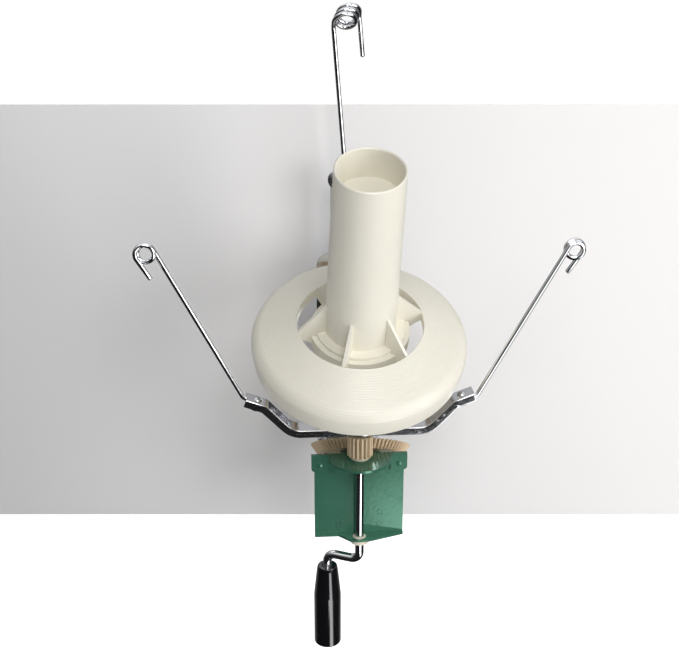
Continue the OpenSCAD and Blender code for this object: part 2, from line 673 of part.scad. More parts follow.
// Post that carries the fixed gear, with a bearing at each end of its bore
module sun_post() {
    column_r = 7.2;
    flange_t = 3;
    bearing_l = 8;
    bore = rod_r + run;
    relief = rod_r + 1;
    seat = sun_low - bar_level;
    top = sun_top - bar_level;
    color([0.8, 0.7, 0.55]) difference() {
        translate([0, 0, bar_level]) rotate_extrude() polygon([
            [bore, 0], [hub_r - 0.5, 0], [hub_r - 0.5, flange_t], [column_r + 0.6, flange_t],
            [column_r, flange_t + 0.6], [column_r, seat - 5], [sun_big_r - sun_ded, seat - 1],
            [sun_big_r - sun_ded, seat], [sun_neck_r, seat], [sun_neck_r, top], [bore, top],
            [bore, top - bearing_l], [relief, top - bearing_l - 1], [relief, bearing_l + 1], [bore, bearing_l]
        ]);
        hub_holes(bar_level - past, flange_t + 2 * past);
    }
}
module sun_gear() {
    color([0.8, 0.7, 0.55]) difference() {
        translate([0, 0, sun_low]) linear_extrude(sun_top - sun_low, scale = cone_small / cone_big)
            rotate(-90) gear_outline(sun_teeth, sun_big_r, sun_add, sun_ded, 0.40, 22);
        translate([0, 0, sun_low - past]) cylinder(r = sun_neck_r + 0.01, h = sun_top - sun_low + 2 * past);
    }
}
hub_stack = 3 + 2 * bar_t;
module hub_screws() plated() both_sides(hub_screw_x) {
    translate([0, 0, bar_level + 3]) domed_head(3, 2.2);
    translate([0, 0, bar_level + 3 - hub_stack - m4_nut_t + 0.4])
        cylinder(r = m4_r, h = hub_stack + m4_nut_t - 0.3);
}
module hub_nuts() plated() both_sides(hub_screw_x)
    translate([0, 0, bar_level - 2 * bar_t - m4_nut_t]) hex_nut(m4_nut_r, m4_r, m4_nut_t);
module arm_bolts() plated() arm_bolt_places() {
    translate([0, -bar_t, 0]) rotate([90, 0, 0]) domed_head(3.6, 2.4);
    translate([0, -bar_t - 0.1, 0]) rotate([-90, 0, 0]) cylinder(r = m4_r, h = 2 * bar_t + m4_nut_t + 1);
}
module arm_nuts() plated() arm_bolt_places()
    translate([0, bar_t, 0]) rotate([-90, 0, 0]) hex_nut(m4_nut_r, m4_r, m4_nut_t);
module foot_screws() plated() foot_places() {
    translate([0, 0, bar_t]) domed_head(3.6, 2.4);
    translate([0, 0, -clamp_t + 0.4]) cylinder(r = m4_r, h = clamp_t + bar_t - 0.3);
}

// Wire of a side guide on the right: foot loop, bend, straight run, eye and free end
function side_guide(swing) =
    let (
        under = bar_t + guide_d / 2,
        seat = tip_seat - tip_up * under,
        foot = [for (i = [0:14]) let (a = -360 + 270 * i / 14)
            seat + foot_loop_r * (tip_out * cos(a) + [0, sin(a), 0])],
        exit = seat - [0, foot_loop_r, 0],
        corner = exit + tip_out * (bar_tip_x - tip_screw_x + 1) / cos(tip_slope),
        out = [cos(swing), sin(swing), 0],
        run_x = (side_eye_x - corner.x) / cos(swing),
        run_z = side_eye_h - corner.z,
        reach = sqrt(run_x * run_x + run_z * run_z),
        rise = atan2(run_z, run_x) + asin(eye_r / reach),
        eye = corner + out * run_x + [0, 0, run_z],
        way = out * cos(rise) + [0, 0, sin(rise)],
        behind = [-sin(swing), cos(swing), 0],
        steps = ceil(24 * eye_turns),
        turns = [for (i = [0:steps]) let (a = rise + 90 - 360 * eye_turns * i / steps)
            eye + (eye_r + eye_grow * i / steps) * (out * cos(a) + [0, 0, sin(a)])
                + behind * eye_pitch * eye_turns * i / steps],
        tail = turns[steps] - (way * cos(5) + cross(behind, way) * sin(5)) * tail_len
    )
    concat(foot, bend(exit, corner, turns[0], 4.5, 6), turns, [tail]);
// The left guide is the same wire as the right one, turned half round
module left_guide() chromed()
    translate([0, 2 * tip_screw_y, 0]) rotate([0, 0, 180]) wire(side_guide(-rod_swing), guide_d / 2);
module right_guide() chromed() wire(side_guide(-rod_swing), guide_d / 2);

// Wire of the back guide: foot loop on the tongue, upright run, tilted eye and free end
function back_guide_line() =
    let (
        y = back_y - guide_d / 2,
        seat = [back_screw_x, y, back_screw_z],
        foot = [for (i = [0:14]) let (a = -270 + 270 * i / 14)
            seat + back_loop * [cos(a), 0, sin(a)]],
        eye = [-10.1 + back_eye_r, y, back_eye_h],
        axis = [0, cos(back_eye_tilt), sin(back_eye_tilt)],
        up = [0, -sin(back_eye_tilt), cos(back_eye_tilt)],
        step = axis * back_pitch + [back_lean, 0, 0],
        steps = ceil(24 * back_turns),
        turns = [for (i = [0:steps]) let (a = 180 - 360 * back_turns * i / steps)
            eye + back_eye_r * ([cos(a), 0, 0] + up * sin(a)) + step * back_turns * i / steps],
        before = turns[0] - up * 4,
        corner = turns[steps] - up * 4,
        tail = corner + back_tail_len * unit([0.1, 0.05, -1])
    )
    concat(foot, bend(foot[14], before, turns[0], 5, 6), [for (i = [1:steps - 1]) turns[i]],
        bend(turns[steps], corner, tail, 5, 6), [tail]);
module back_guide() chromed() wire(back_guide_line(), guide_d / 2);
module guide_screws() plated() {
    for (s = [-1, 1]) tip_place(s) {
        domed_head(tip_head_r, tip_head_h);
        translate([0, 0, -bar_t - guide_d - m4_nut_t - 0.4])
            cylinder(r = tip_screw_r, h = bar_t + guide_d + m4_nut_t + 0.5);
    }
    translate([back_screw_x, back_y - guide_d, back_screw_z]) rotate([90, 0, 0]) {
        domed_head(back_loop, tip_head_h + 0.5);
        translate([0, 0, -guide_d - bar_t - m4_nut_t - 0.4]) cylinder(r = m4_r, h = guide_d + bar_t + m4_nut_t + 0.5);
    }
}
module guide_nuts() plated() {
    for (s = [-1, 1]) tip_place(s) translate([0, 0, -bar_t - guide_d - m4_nut_t])
        rotate(30) hex_nut(m4_nut_r - 0.3, tip_screw_r, m4_nut_t);
    translate([back_screw_x, back_y + bar_t, back_screw_z]) rotate([-90, 0, 0])
        hex_nut(m4_nut_r, m4_r, m4_nut_t);
}

// Radius of the tube's outside at the height l along the spindle
function tube_r(l) = (tube_foot_d + (tube_mouth_d - tube_foot_d) * max(l, 0) / tube_top) / 2;
// Tube with its floor, its bridge and the seats of its two bushes
module bobbin_tube() {
    lip = 0.6;
    ivory() on_spindle() rotate_extrude() polygon([
        [tube_r(0) - tube_wall, hub_step_l - cup_wall], [tube_r(0) - tube_wall, 0],
        [tube_r(0) - tube_wall, floor_l], [sleeve_r, floor_l], [bobbin_bush_r, floor_l],
        [bobbin_bush_r, floor_l + sleeve_l], [sleeve_r, floor_l + sleeve_l],
        [sleeve_r, floor_l + floor_t], [tube_r(floor_l + floor_t) - tube_wall, floor_l + floor_t],
        [tube_r(bridge_l) - tube_wall, bridge_l - bridge_t], [bobbin_bush_r, bridge_l - bridge_t],
        [bobbin_bush_r, bridge_l], [tube_r(bridge_l) - tube_wall, bridge_l],
        [tube_r(tube_top) - tube_wall, tube_top - lip], [tube_r(tube_top) - tube_wall + lip, tube_top],
        [tube_r(tube_top) - lip, tube_top], [tube_r(tube_top), tube_top - lip],
        [tube_r(0), 0], [tube_r(0), hub_step_l - cup_wall]
    ]);
}
// Floor of the mouth, which hides the spindle's cap
module tube_plug() {
    plug_t = 1.6;
    plug_l = tube_top - plug_depth - plug_t;
    ivory() on_spindle() translate([0, 0, plug_l])
        cylinder(r1 = tube_r(plug_l) - tube_wall - 0.01, r2 = tube_r(plug_l + plug_t) - tube_wall - 0.01, h = plug_t);
}
// Stepped hub under the tube, which holds the ring gear, and the ribs out to the flange
module bobbin_hub() {
    step_r = cup_r - 3.2;
    ivory() on_spindle() difference() {
        union() {
            rotate_extrude() polygon([
                [tube_r(0), hub_step_l - cup_wall], [tube_r(0), hub_step_l], [step_r, hub_step_l],
                [step_r, hub_lip_l], [cup_r, hub_lip_l], [cup_r, -ring_big - 2], [ring_out_r, -ring_big - 2],
                [ring_out_r, -ring_depth + gap], [ring_seat_r, -ring_depth + gap],
                [ring_seat_r, hub_step_l - cup_wall]
            ]);
            intersection() {
                ribs();
                translate([0, 0, -2 * ring_big]) cylinder(r = hole_d / 2, h = 3 * ring_big);
            }
        }
        translate([0, 0, hub_step_l - cup_wall - past]) cylinder(r = tube_r(0), h = cup_wall - hub_step_l + past);
        cylinder(r1 = tube_r(0), r2 = tube_r(tube_top), h = tube_top);
    }
}
ring_seat_r = tube_foot_d / 2 + 1;
// Flange outline: inner edge, grooved cone, rounded rim and skirt
module bobbin_flange() {
    r0 = hole_d / 2;
    r1 = flange_d / 2;
    round_r = 9;
    round_in = round_r - flange_wall;
    slope = cone_fall / (r1 - r0);
    function cone_l(r) = -hole_depth - (r - r0) * slope;
    groove_w = 0.9;
    groove_d = 0.3;
    lip_h = 7;
    skirt_in = 1.6;
    rim_l = cone_l(r1 - round_r);
    ivory() on_spindle() rotate_extrude() polygon(concat(
        [[r0, -hole_depth - lip_h], [r0, -hole_depth - 0.5], [r0 + 0.5, -hole_depth + 0.2], [r0 + 1.4, -hole_depth]],
        [for (i = [0:groove_count - 1]) let (r = r0 + 2.6 + groove_pitch * i) each [
            [r - groove_w / 2, cone_l(r - groove_w / 2)], [r, cone_l(r) - groove_d],
            [r + groove_w / 2, cone_l(r + groove_w / 2)]
        ]],
        [for (i = [1:6]) [r1 - round_r + round_r * sin(15 * i), rim_l - round_r + round_r * cos(15 * i)]],
        [[r1 - skirt_in, rim_l - skirt_h], [r1 - skirt_in - flange_wall, rim_l - skirt_h]],
        [for (i = [4:-1:1]) [r1 - round_r + round_in * sin(22.5 * i), rim_l - round_r + round_in * cos(22.5 * i)]],
        [[r0 + flange_wall, cone_l(r0 + flange_wall) - flange_wall], [r0 + flange_wall, -hole_depth - lip_h]]
    ));
}
module ribs() {
    r0 = tube_foot_d / 2 - 0.8;
    r1 = hole_d / 2 + 0.8;
    first_rib = 10.5;
    for (i = [0:rib_count - 1]) rotate([0, 0, first_rib + 360 * i / rib_count])
        translate([0, rib_t / 2, 0]) rotate([90, 0, 0]) linear_extrude(rib_t) polygon([
            [r0, rib_top], [r0 + 1.2, rib_top], [r1, -hole_depth - 0.8], [r1, -hole_depth - 6.5],
            [cup_r - 0.6, -ring_big], [cup_r - 0.6, hub_lip_l - 0.6], [cup_r - 3.8, hub_step_l - 0.6],
            [r0, hub_step_l - 0.6]
        ]);
}
module ring_gear() {
    big = ring_big_r;
    add = bevel_add * bevel_module / cos(ring_cone);
    ded = bevel_ded * bevel_module / cos(ring_cone);
    // The cutter is a gear whose teeth are the ring's spaces
    far = 1 + past / ring_big;
    near = (ring_depth - past) / (ring_big + past);
    color([0.8, 0.7, 0.55]) on_spindle() difference() {
        translate([0, 0, -ring_big]) cylinder(r = ring_out_r - 0.02, h = ring_t);
        translate([0, 0, -ring_big - past]) linear_extrude(ring_t + 2 * past, scale = near)
            rotate(-90) gear_outline(ring_teeth, big * far, ded * far, add * far, 0.60, 22);
    }
}
module bobbin_bush(l, h, up) {
    collar_l = up ? l + h : l - bush_collar_t;
    color([0.97, 0.96, 0.92]) on_spindle() difference() {
        union() {
            translate([0, 0, up ? l : l - bush_collar_t])
                cylinder(r = bobbin_bush_r - 0.01, h = h + bush_collar_t);
            translate([0, 0, collar_l]) cylinder(r = bobbin_bush_r + 1.8, h = bush_collar_t);
        }
        translate([0, 0, l - 2 * past]) cylinder(r = rod_r + run, h = h + 4 * past);
    }
}
module lower_bobbin_bush() bobbin_bush(floor_l, sleeve_l, false);
module upper_bobbin_bush() bobbin_bush(bridge_l - bridge_t, bridge_t, true);

// Bracket behind the frame; the underside of its deck is the upper jaw
module base_bracket() {
    painted() difference() {
        translate([-clamp_w / 2, 0, 0]) rotate([90, 0, 90]) linear_extrude(clamp_w) polygon([
            [web_back, jaw_top], [back_y + 3, jaw_top], [back_y + 3, -deck_h],
            [table_y + 0.02, -deck_h], [table_y + 0.02, -deck_h + seat_step], [web_back + clamp_t, -deck_h + seat_step],
            [web_back + clamp_t, -frame_h + 1], [web_back, -frame_h + 1]
        ]);
        foot_places() translate([0, 0, -clamp_t - past]) cylinder(r = m4_r, h = clamp_t + 2 * past);
        jaw_places() translate([0, 0, -past]) cylinder(r = m5_r + loose, h = clamp_t + 2 * past);
        base_rivet_places() rotate([-90, 0, 0]) cylinder(r = bracket_rivet_r + loose, h = web_back + clamp_t + past);
    }
}
m5_r = 2.5;
jaw_foot = 15;
seat_step = 0.5;
module jaw_places() both_sides(11) translate([0, table_y - jaw_foot / 2 - 2, -deck_h]) children();
module base_rivet_places() for (z = [-44, -53]) both_sides(14) translate([0, 0, z]) children();
// Lower jaw: foot under the deck, stop for the table's edge and arm under the table
module clamp_jaw() {
    low = -deck_h - jaw_gap;
    painted() difference() {
        translate([-clamp_w / 2, 0, 0]) rotate([90, 0, 90]) linear_extrude(clamp_w) polygon([
            [table_y - clamp_t - jaw_foot, seat_step - deck_h], [table_y - 0.4, seat_step - deck_h],
            [table_y, -deck_h - 0.1], [table_y, low],
            [screw_y + 11, low], [screw_y + 11, low - clamp_t], [table_y - clamp_t, low - clamp_t],
            [table_y - clamp_t, seat_step - deck_h - clamp_t],
            [table_y - clamp_t - jaw_foot, seat_step - deck_h - clamp_t]
        ]);
        jaw_places() translate([0, 0, -clamp_t - past]) cylinder(r = m5_r + loose, h = clamp_t + 2 * past);
        translate([0, screw_y, low - 2 * clamp_t]) cylinder(r = screw_d / 2 + run, h = 3 * clamp_t);
    }
}
module jaw_screws() plated() jaw_places() {
    translate([0, 0, clamp_t]) domed_head(4.6, 2.8);
    translate([0, 0, -clamp_t - jaw_nut_t - 0.5]) cylinder(r = m5_r, h = 2 * clamp_t + jaw_nut_t + 0.6);
}
jaw_nut_t = 3.6;
module jaw_nuts() plated() jaw_places()
    translate([0, 0, seat_step - clamp_t - jaw_nut_t]) hex_nut(4.6, m5_r, jaw_nut_t);
boss_h = 6;
screw_top = -deck_h - jaw_gap + 0.5;
tommy_z = -deck_h - jaw_gap - clamp_t - boss_h - screw_travel - 4;
tommy_r = 1.9;
module at_screw() translate([0, screw_y, 0]) children();
module clamp_boss() plated() at_screw()
    translate([0, 0, -deck_h - jaw_gap - clamp_t - boss_h]) ring(screw_d / 2 + 4, screw_d / 2 + run, boss_h);
module clamp_screw() {
    neck = 2.5;
    plated() at_screw() difference() {
        union() {
            translate([0, 0, tommy_z - 5]) cylinder(r = screw_d / 2 + 1.5, h = 8);
            translate([0, 0, tommy_z]) cylinder(r = screw_d / 2, h = screw_top - tommy_z);
            translate([0, 0, screw_top - bite]) cylinder(r = neck, h = pad_t - 1.4 + bite);
        }
        translate([-2 * screw_d, 0, tommy_z - 1]) rotate([0, 90, 0]) cylinder(r = tommy_r + 0.01, h = 4 * screw_d);
    }
}
module tommy_bar() plated() at_screw() translate([-tommy_len / 2, 0, tommy_z - 1]) rotate([0, 90, 0]) {
    cylinder(r = tommy_r, h = tommy_len);
    for (x = [0, tommy_len - 3]) translate([0, 0, x]) cylinder(r = tommy_r + 1.3, h = 3);
}
module clamp_pad() plated() at_screw() difference() {
    translate([0, 0, screw_top]) rotate_extrude() polygon([
        [0, 0], [pad_d / 2 - 4, 0], [pad_d / 2, pad_t - 2], [pad_d / 2, pad_t], [0, pad_t]
    ]);
    translate([0, 0, screw_top - past]) cylinder(r = 2.5 + run, h = pad_t - 1.2 + past);
}

placed() {
    frame();
    bearing_plate();
    plate_rivets();
    upper_bush();
    lower_bush();
    crank();
    pinion();
    pinion_pin();
    thrust_collar();
    spindle_cap();
    grip_washer();
    grip();
    wheel();
    wheel_axle();
    wheel_washer();
    wheel_nut();
    wheel_bracket();
    bracket_rivets();
    guide_bar();
    back_arm();
    back_plate();
    sun_post();
    sun_gear();
    hub_screws();
    hub_nuts();
    arm_bolts();
    arm_nuts();
    foot_screws();
    left_guide();
    right_guide();
    back_guide();
    guide_screws();
    guide_nuts();
    bobbin_tube();
    tube_plug();
    bobbin_flange();
    bobbin_hub();
    ring_gear();
    lower_bobbin_bush();
    upper_bobbin_bush();
    base_bracket();
    clamp_jaw();
    jaw_screws();
    jaw_nuts();
    clamp_boss();
    clamp_screw();
    tommy_bar();
    clamp_pad();
}
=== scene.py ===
import json
from math import asin, atan2, cos, hypot, pi, radians, sin, tan

import bpy
from mathutils import Matrix, Vector


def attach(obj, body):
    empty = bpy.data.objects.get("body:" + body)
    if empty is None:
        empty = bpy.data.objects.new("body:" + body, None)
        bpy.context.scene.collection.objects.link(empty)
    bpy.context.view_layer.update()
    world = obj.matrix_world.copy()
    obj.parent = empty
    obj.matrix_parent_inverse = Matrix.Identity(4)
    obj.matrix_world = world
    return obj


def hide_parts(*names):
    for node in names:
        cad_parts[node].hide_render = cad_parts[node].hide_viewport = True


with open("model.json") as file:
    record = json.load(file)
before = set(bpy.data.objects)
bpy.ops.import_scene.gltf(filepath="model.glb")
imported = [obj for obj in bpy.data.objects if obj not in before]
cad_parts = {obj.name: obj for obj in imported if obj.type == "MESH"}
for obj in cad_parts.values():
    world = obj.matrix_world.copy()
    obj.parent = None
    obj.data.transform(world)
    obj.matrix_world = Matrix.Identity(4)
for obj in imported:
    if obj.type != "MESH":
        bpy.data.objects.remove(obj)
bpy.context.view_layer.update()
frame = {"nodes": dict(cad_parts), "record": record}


# Sizes of the winder in millimetres, from the shaft's axis and the bearing plate's top
SCREW_Y = 82.0
DECK_H = 38.5
PIVOT_H = 100.2
LEAN = radians(27.1)
CRANK_ANGLE = radians(155)
CRANK_THROW = 23.5

# Cross bar: its level middle, the rise beside it and the sloping tips
BAR_T = 1.5
BAR_H = 5.3
BAR_FRONT = -6
BAR_DEPTH = 13
BAR_LEVEL = 23
BAR_LEVEL_X = 43.5
BAR_RISE = 17.7
BAR_BEND_X = 60.5
BAR_TIP_X = 73.5
TIP_RISE = 4.9
TIP_SLOPE = atan2(TIP_RISE, BAR_TIP_X - BAR_BEND_X)
TIP_OUT = Vector((cos(TIP_SLOPE), 0, sin(TIP_SLOPE)))
TIP_UP = Vector((-sin(TIP_SLOPE), 0, cos(TIP_SLOPE)))


def mm(x, y, z):
    """A point of the winder, in metres from the model's origin."""
    return Vector((x, y - SCREW_Y, z + DECK_H)) / 1000


# Camera: the photograph's size and focal length in pixels, and the angles it was taken at
PHOTO_W, PHOTO_H = 679, 650
FOCAL = 1050
SENSOR_W = 36
DOWN = radians(19.3)
SIDE = radians(4.1)
LOOK = Vector((sin(SIDE) * cos(DOWN), cos(SIDE) * cos(DOWN), -sin(DOWN)))
RIGHT = Vector((cos(SIDE), -sin(SIDE), 0))
UP = RIGHT.cross(LOOK)
EYE = mm(-58.2, -622.7, 311.3)


def place_camera():
    data = bpy.data.cameras.new("camera")
    data.sensor_width = SENSOR_W
    data.lens = FOCAL / PHOTO_W * SENSOR_W
    data.clip_start = 0.01
    data.clip_end = 20
    camera = bpy.data.objects.new("camera", data)
    bpy.context.collection.objects.link(camera)
    axes = Matrix((RIGHT, UP, -LOOK)).transposed().to_4x4()
    camera.matrix_world = Matrix.Translation(EYE) @ axes
    bpy.context.scene.camera = camera


# Small helpers for shader nodes
MIX_A, MIX_B, MIX_RESULT = 6, 7, 2  # places of the colour sockets on a Mix node


def feed(tree, socket, value):
    """Joins another node's output to the socket, or sets the socket to a value."""
    if isinstance(value, bpy.types.NodeSocket):
        tree.links.new(value, socket)
    else:
        socket.default_value = value


def joined(tree, operation, a, b):
    """The sum, product or larger of two values."""
    node = tree.nodes.new("ShaderNodeMath")
    node.operation = operation
    feed(tree, node.inputs[0], a)
    feed(tree, node.inputs[1], b)
    return node.outputs[0]


def mixed(tree, factor, a, b, blend="MIX"):
    """A mix of two colours."""
    node = tree.nodes.new("ShaderNodeMix")
    node.data_type = "RGBA"
    node.blend_type = blend
    feed(tree, node.inputs["Factor"], factor)
    feed(tree, node.inputs[MIX_A], a)
    feed(tree, node.inputs[MIX_B], b)
    return node.outputs[MIX_RESULT]


def spread(tree, value, low, high, to_low, to_high):
    """The value, stretched from the range low to high onto another range."""
    node = tree.nodes.new("ShaderNodeMapRange")
    feed(tree, node.inputs["Value"], value)
    feed(tree, node.inputs["From Min"], low)
    feed(tree, node.inputs["From Max"], high)
    feed(tree, node.inputs["To Min"], to_low)
    feed(tree, node.inputs["To Max"], to_high)
    return node.outputs["Result"]


def ramp_of(tree, value, dots):
    """The value from 0 to 1, taken through a ramp of places with their colours."""
    node = tree.nodes.new("ShaderNodeValToRGB")
    marks = node.color_ramp.elements
    for i, (place, colour) in enumerate(dots):
        mark = marks[i] if i < 2 else marks.new(place)
        mark.position = place
        mark.color = (*colour, 1)
    feed(tree, node.inputs["Fac"], value)
    return node.outputs["Color"]


def noise(tree, vector, scale, detail, roughness):
    node = tree.nodes.new("ShaderNodeTexNoise")
    feed(tree, node.inputs["Vector"], vector)
    feed(tree, node.inputs["Scale"], scale)
    feed(tree, node.inputs["Detail"], detail)
    feed(tree, node.inputs["Roughness"], roughness)
    return node.outputs["Fac"]


def on_piece(tree):
    """The place on the piece, in metres."""
    return tree.nodes.new("ShaderNodeTexCoord").outputs["Object"]


# Shader groups shared by the finishes
def group(name, inputs, output):
    """An empty group with number inputs, given with their usual values, and one output."""
    tree = bpy.data.node_groups.new(name, "ShaderNodeTree")
    for label, value in inputs.items():
        socket = tree.interface.new_socket(label, in_out="INPUT", socket_type="NodeSocketFloat")
        socket.default_value = value
    tree.interface.new_socket(output, in_out="OUTPUT", socket_type="NodeSocketFloat")
    return tree, tree.nodes.new("NodeGroupInput"), tree.nodes.new("NodeGroupOutput")


def mottle_group():
    """Slow change of tone over a moulded or painted surface."""
    tree, given, out = group("mottle", {"Scale": 40, "Low": 0.9, "High": 1.0}, "Tone")
    slow = noise(tree, on_piece(tree), given.outputs["Scale"], detail=5, roughness=0.55)
    tone = spread(tree, slow, 0.3, 0.7, given.outputs["Low"], given.outputs["High"])
    tree.links.new(tone, out.inputs["Tone"])
    return tree


def grain_group():
    """Fine skin of a moulding, a plating or paint, as a height."""
    tree, given, out = group("grain", {"Scale": 2500}, "Height")
    fine = noise(tree, on_piece(tree), given.outputs["Scale"], detail=3, roughness=0.5)
    tree.links.new(fine, out.inputs["Height"])
    return tree


RUB_TURNS = ((0.3, 0.9, 0.2), (1.4, 0.2, 0.8))
RUB_STRETCH = (1, 14, 1)


def scuff_group():
    """Thin crossing rub marks, as a mask."""
    tree, given, out = group("scuffs", {"Scale": 160, "Amount": 0.5}, "Mask")
    place = on_piece(tree)
    masks = []
    for turn in RUB_TURNS:
        lay = tree.nodes.new("ShaderNodeMapping")
        lay.inputs["Rotation"].default_value = turn
        lay.inputs["Scale"].default_value = RUB_STRETCH
        tree.links.new(place, lay.inputs["Vector"])
        line = noise(tree, lay.outputs["Vector"], given.outputs["Scale"], detail=2, roughness=0.5)
        masks.append(spread(tree, line, 0.62, 0.72, 0, 1))
    either = joined(tree, "MAXIMUM", *masks)
    tree.links.new(joined(tree, "MULTIPLY", either, given.outputs["Amount"]), out.inputs["Mask"])
    return tree


MOTTLE = mottle_group()
GRAIN = grain_group()
SCUFFS = scuff_group()


def use(tree, group_tree, **values):
    """Puts a shared group into a material with its own values, and returns its output."""
    node = tree.nodes.new("ShaderNodeGroup")
    node.node_tree = group_tree
    for label, value in values.items():
        node.inputs[label].default_value = value
    return node.outputs[0]


# Finishes
COAT_ROUGHNESS = 0.08
RUBBED_ROUGHER = 0.35
SUBSURFACE_RADIUS = (0.0015, 0.0012, 0.0008)
# reach and samples of the painted shade in hollows
HOLLOW_SHADE_REACH = 0.004
HOLLOW_SHADE_SAMPLES = 8


def plain_material(name):
    material = bpy.data.materials.new(name)
    material.use_nodes = True
    return material, material.node_tree, material.node_tree.nodes["Principled BSDF"]


def painted_hollow_shade(tree, tone, darkest):
    """Painted shade: lowers the tone where other faces stand close around, as between teeth."""
    depth = tree.nodes.new("ShaderNodeAmbientOcclusion")
    depth.samples = HOLLOW_SHADE_SAMPLES
    depth.inputs["Distance"].default_value = HOLLOW_SHADE_REACH
    return joined(tree, "MULTIPLY", tone, spread(tree, depth.outputs["AO"], 0.25, 0.6, darkest, 1))


def finish(name, colour, roughness, mottle, grain, scuffs, metallic=0.0, coat=0.0, ior=1.5,
           subsurface=0.0, hollow_shade=1.0, sheen_tint=(1, 1, 1)):
    """Colour with slow mottling and, where asked, painted shade in hollows, roughness with scuffs, and
    fine grain as a bump.

    Mottle is a scale with the lowest and highest tone, grain a scale with its strength and its
    height in metres, scuffs a scale with their amount, and hollow_shade the tone of the painted
    shade left in a hollow.
    """
    material, tree, shader = plain_material(name)
    shader.inputs["Metallic"].default_value = metallic
    shader.inputs["IOR"].default_value = ior
    shader.inputs["Coat Weight"].default_value = coat
    shader.inputs["Coat Roughness"].default_value = COAT_ROUGHNESS
    shader.inputs["Specular Tint"].default_value = (*sheen_tint, 1)
    if subsurface:
        shader.inputs["Subsurface Weight"].default_value = subsurface
        shader.inputs["Subsurface Radius"].default_value = SUBSURFACE_RADIUS
    tone = use(tree, MOTTLE, Scale=mottle[0], Low=mottle[1], High=mottle[2])
    # painted shade in hollows, where other faces stand close around
    if hollow_shade < 1:
        tone = painted_hollow_shade(tree, tone, hollow_shade)
    tree.links.new(mixed(tree, 1, (*colour, 1), tone, "MULTIPLY"), shader.inputs["Base Color"])
    rub = use(tree, SCUFFS, Scale=scuffs[0], Amount=scuffs[1])
    rough = spread(tree, rub, 0, 1, roughness, roughness + RUBBED_ROUGHER)
    tree.links.new(rough, shader.inputs["Roughness"])
    bump = tree.nodes.new("ShaderNodeBump")
    bump.inputs["Strength"].default_value = grain[1]
    bump.inputs["Distance"].default_value = grain[2]
    tree.links.new(use(tree, GRAIN, Scale=grain[0]), bump.inputs["Height"])
    tree.links.new(bump.outputs["Normal"], shader.inputs["Normal"])
    return material


def green_enamel():
    # painted shade in the folds and under the rims of the green parts
    return finish("green_enamel", (0.04, 0.135, 0.09), 0.12, mottle=(30, 0.88, 1.0),
                  grain=(420, 0.05, 0.0004), scuffs=(120, 0.12), ior=1.8, hollow_shade=0.5,
                  sheen_tint=(0.5, 1.0, 0.75))


def chrome_plate():
    return finish("chrome_plate", (0.80, 0.81, 0.84), 0.09, mottle=(55, 0.94, 1.0),
                  grain=(900, 0.006, 0.0002), scuffs=(180, 0.25), metallic=1.0)


def zinc_plate():
    return finish("zinc_plate", (0.66, 0.68, 0.70), 0.24, mottle=(200, 0.85, 1.0),
                  grain=(1800, 0.08, 0.0002), scuffs=(300, 0.5), metallic=1.0)


def tan_nylon():
    # painted shade between the teeth and in the other hollows
    return finish("tan_nylon", (0.84, 0.66, 0.45), 0.36, mottle=(90, 0.9, 1.0),
                  grain=(1500, 0.08, 0.0002), scuffs=(220, 0.15), hollow_shade=0.25)


def ivory_plastic():
    return finish("ivory_plastic", (0.88, 0.85, 0.745), 0.34, mottle=(18, 0.965, 1.0),
                  grain=(1300, 0.06, 0.0002), scuffs=(90, 0.12), subsurface=0.08)


def bush_nylon():
    return finish("bush_nylon", (0.78, 0.72, 0.58), 0.42, mottle=(120, 0.93, 1.0),
                  grain=(1500, 0.08, 0.0002), scuffs=(200, 0.1), subsurface=0.05)


def black_grip_plastic():
    return finish("black_grip_plastic", (0.006, 0.006, 0.008), 0.12, mottle=(60, 0.8, 1.0),
                  grain=(800, 0.02, 0.0002), scuffs=(110, 0.15), coat=1.0)


FINISH = {
    "green_paint": green_enamel(),
    "chrome": chrome_plate(),
    "zinc_plate": zinc_plate(),
    "tan_plastic": tan_nylon(),
    "ivory_plastic": ivory_plastic(),
    "bush_plastic": bush_nylon(),
    "black_plastic": black_grip_plastic(),
}


def dress_solids():
    """Gives every solid of the winder the finish that its record names."""
    for part in frame["record"]["subparts"]:
        node = frame["nodes"][part["node"]]
        for holder in node.material_slots:
            holder.material = FINISH[part["material_slot"]]


def dress(piece, slot_name, body, *nodes):
    """Gives a new piece its finish, the body it rides on and the nodes it stands for."""
    piece.data.materials.clear()
    piece.data.materials.append(FINISH[slot_name])
    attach(piece, body)
    if nodes:
        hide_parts(*nodes)


# Helpers for shaping pieces
MERGE = 0.000005  # points nearer than this, in metres, become one
DISC_SIDES = 96
FILLET_STEPS = 8


def alone(piece):
    """Selects nothing but the piece."""
    bpy.ops.object.select_all(action="DESELECT")
    piece.select_set(True)
    bpy.context.view_layer.objects.active = piece


def line_piece(name, dots, dimensions="3D", closed=False):
    """A line through the dots, each given as its place in metres and its share of the thickness."""
    curve = bpy.data.curves.new(name, "CURVE")
    curve.dimensions = dimensions
    spline = curve.splines.new("POLY")
    spline.points.add(len(dots) - 1)
    spline.use_cyclic_u = closed
    for dot, (place, share) in zip(spline.points, dots):
        dot.co = (*place, 1)
        dot.radius = share
    piece = bpy.data.objects.new(name, curve)
    bpy.context.collection.objects.link(piece)
    return piece


def as_mesh(piece):
    alone(piece)
    bpy.ops.object.convert(target="MESH")
    return bpy.context.object


def weld(piece):
    """Merges doubled points and turns every face outwards."""
    alone(piece)
    bpy.ops.object.mode_set(mode="EDIT")
    bpy.ops.mesh.select_all(action="SELECT")
    bpy.ops.mesh.remove_doubles(threshold=MERGE)
    bpy.ops.mesh.normals_make_consistent(inside=False)
    bpy.ops.object.mode_set(mode="OBJECT")


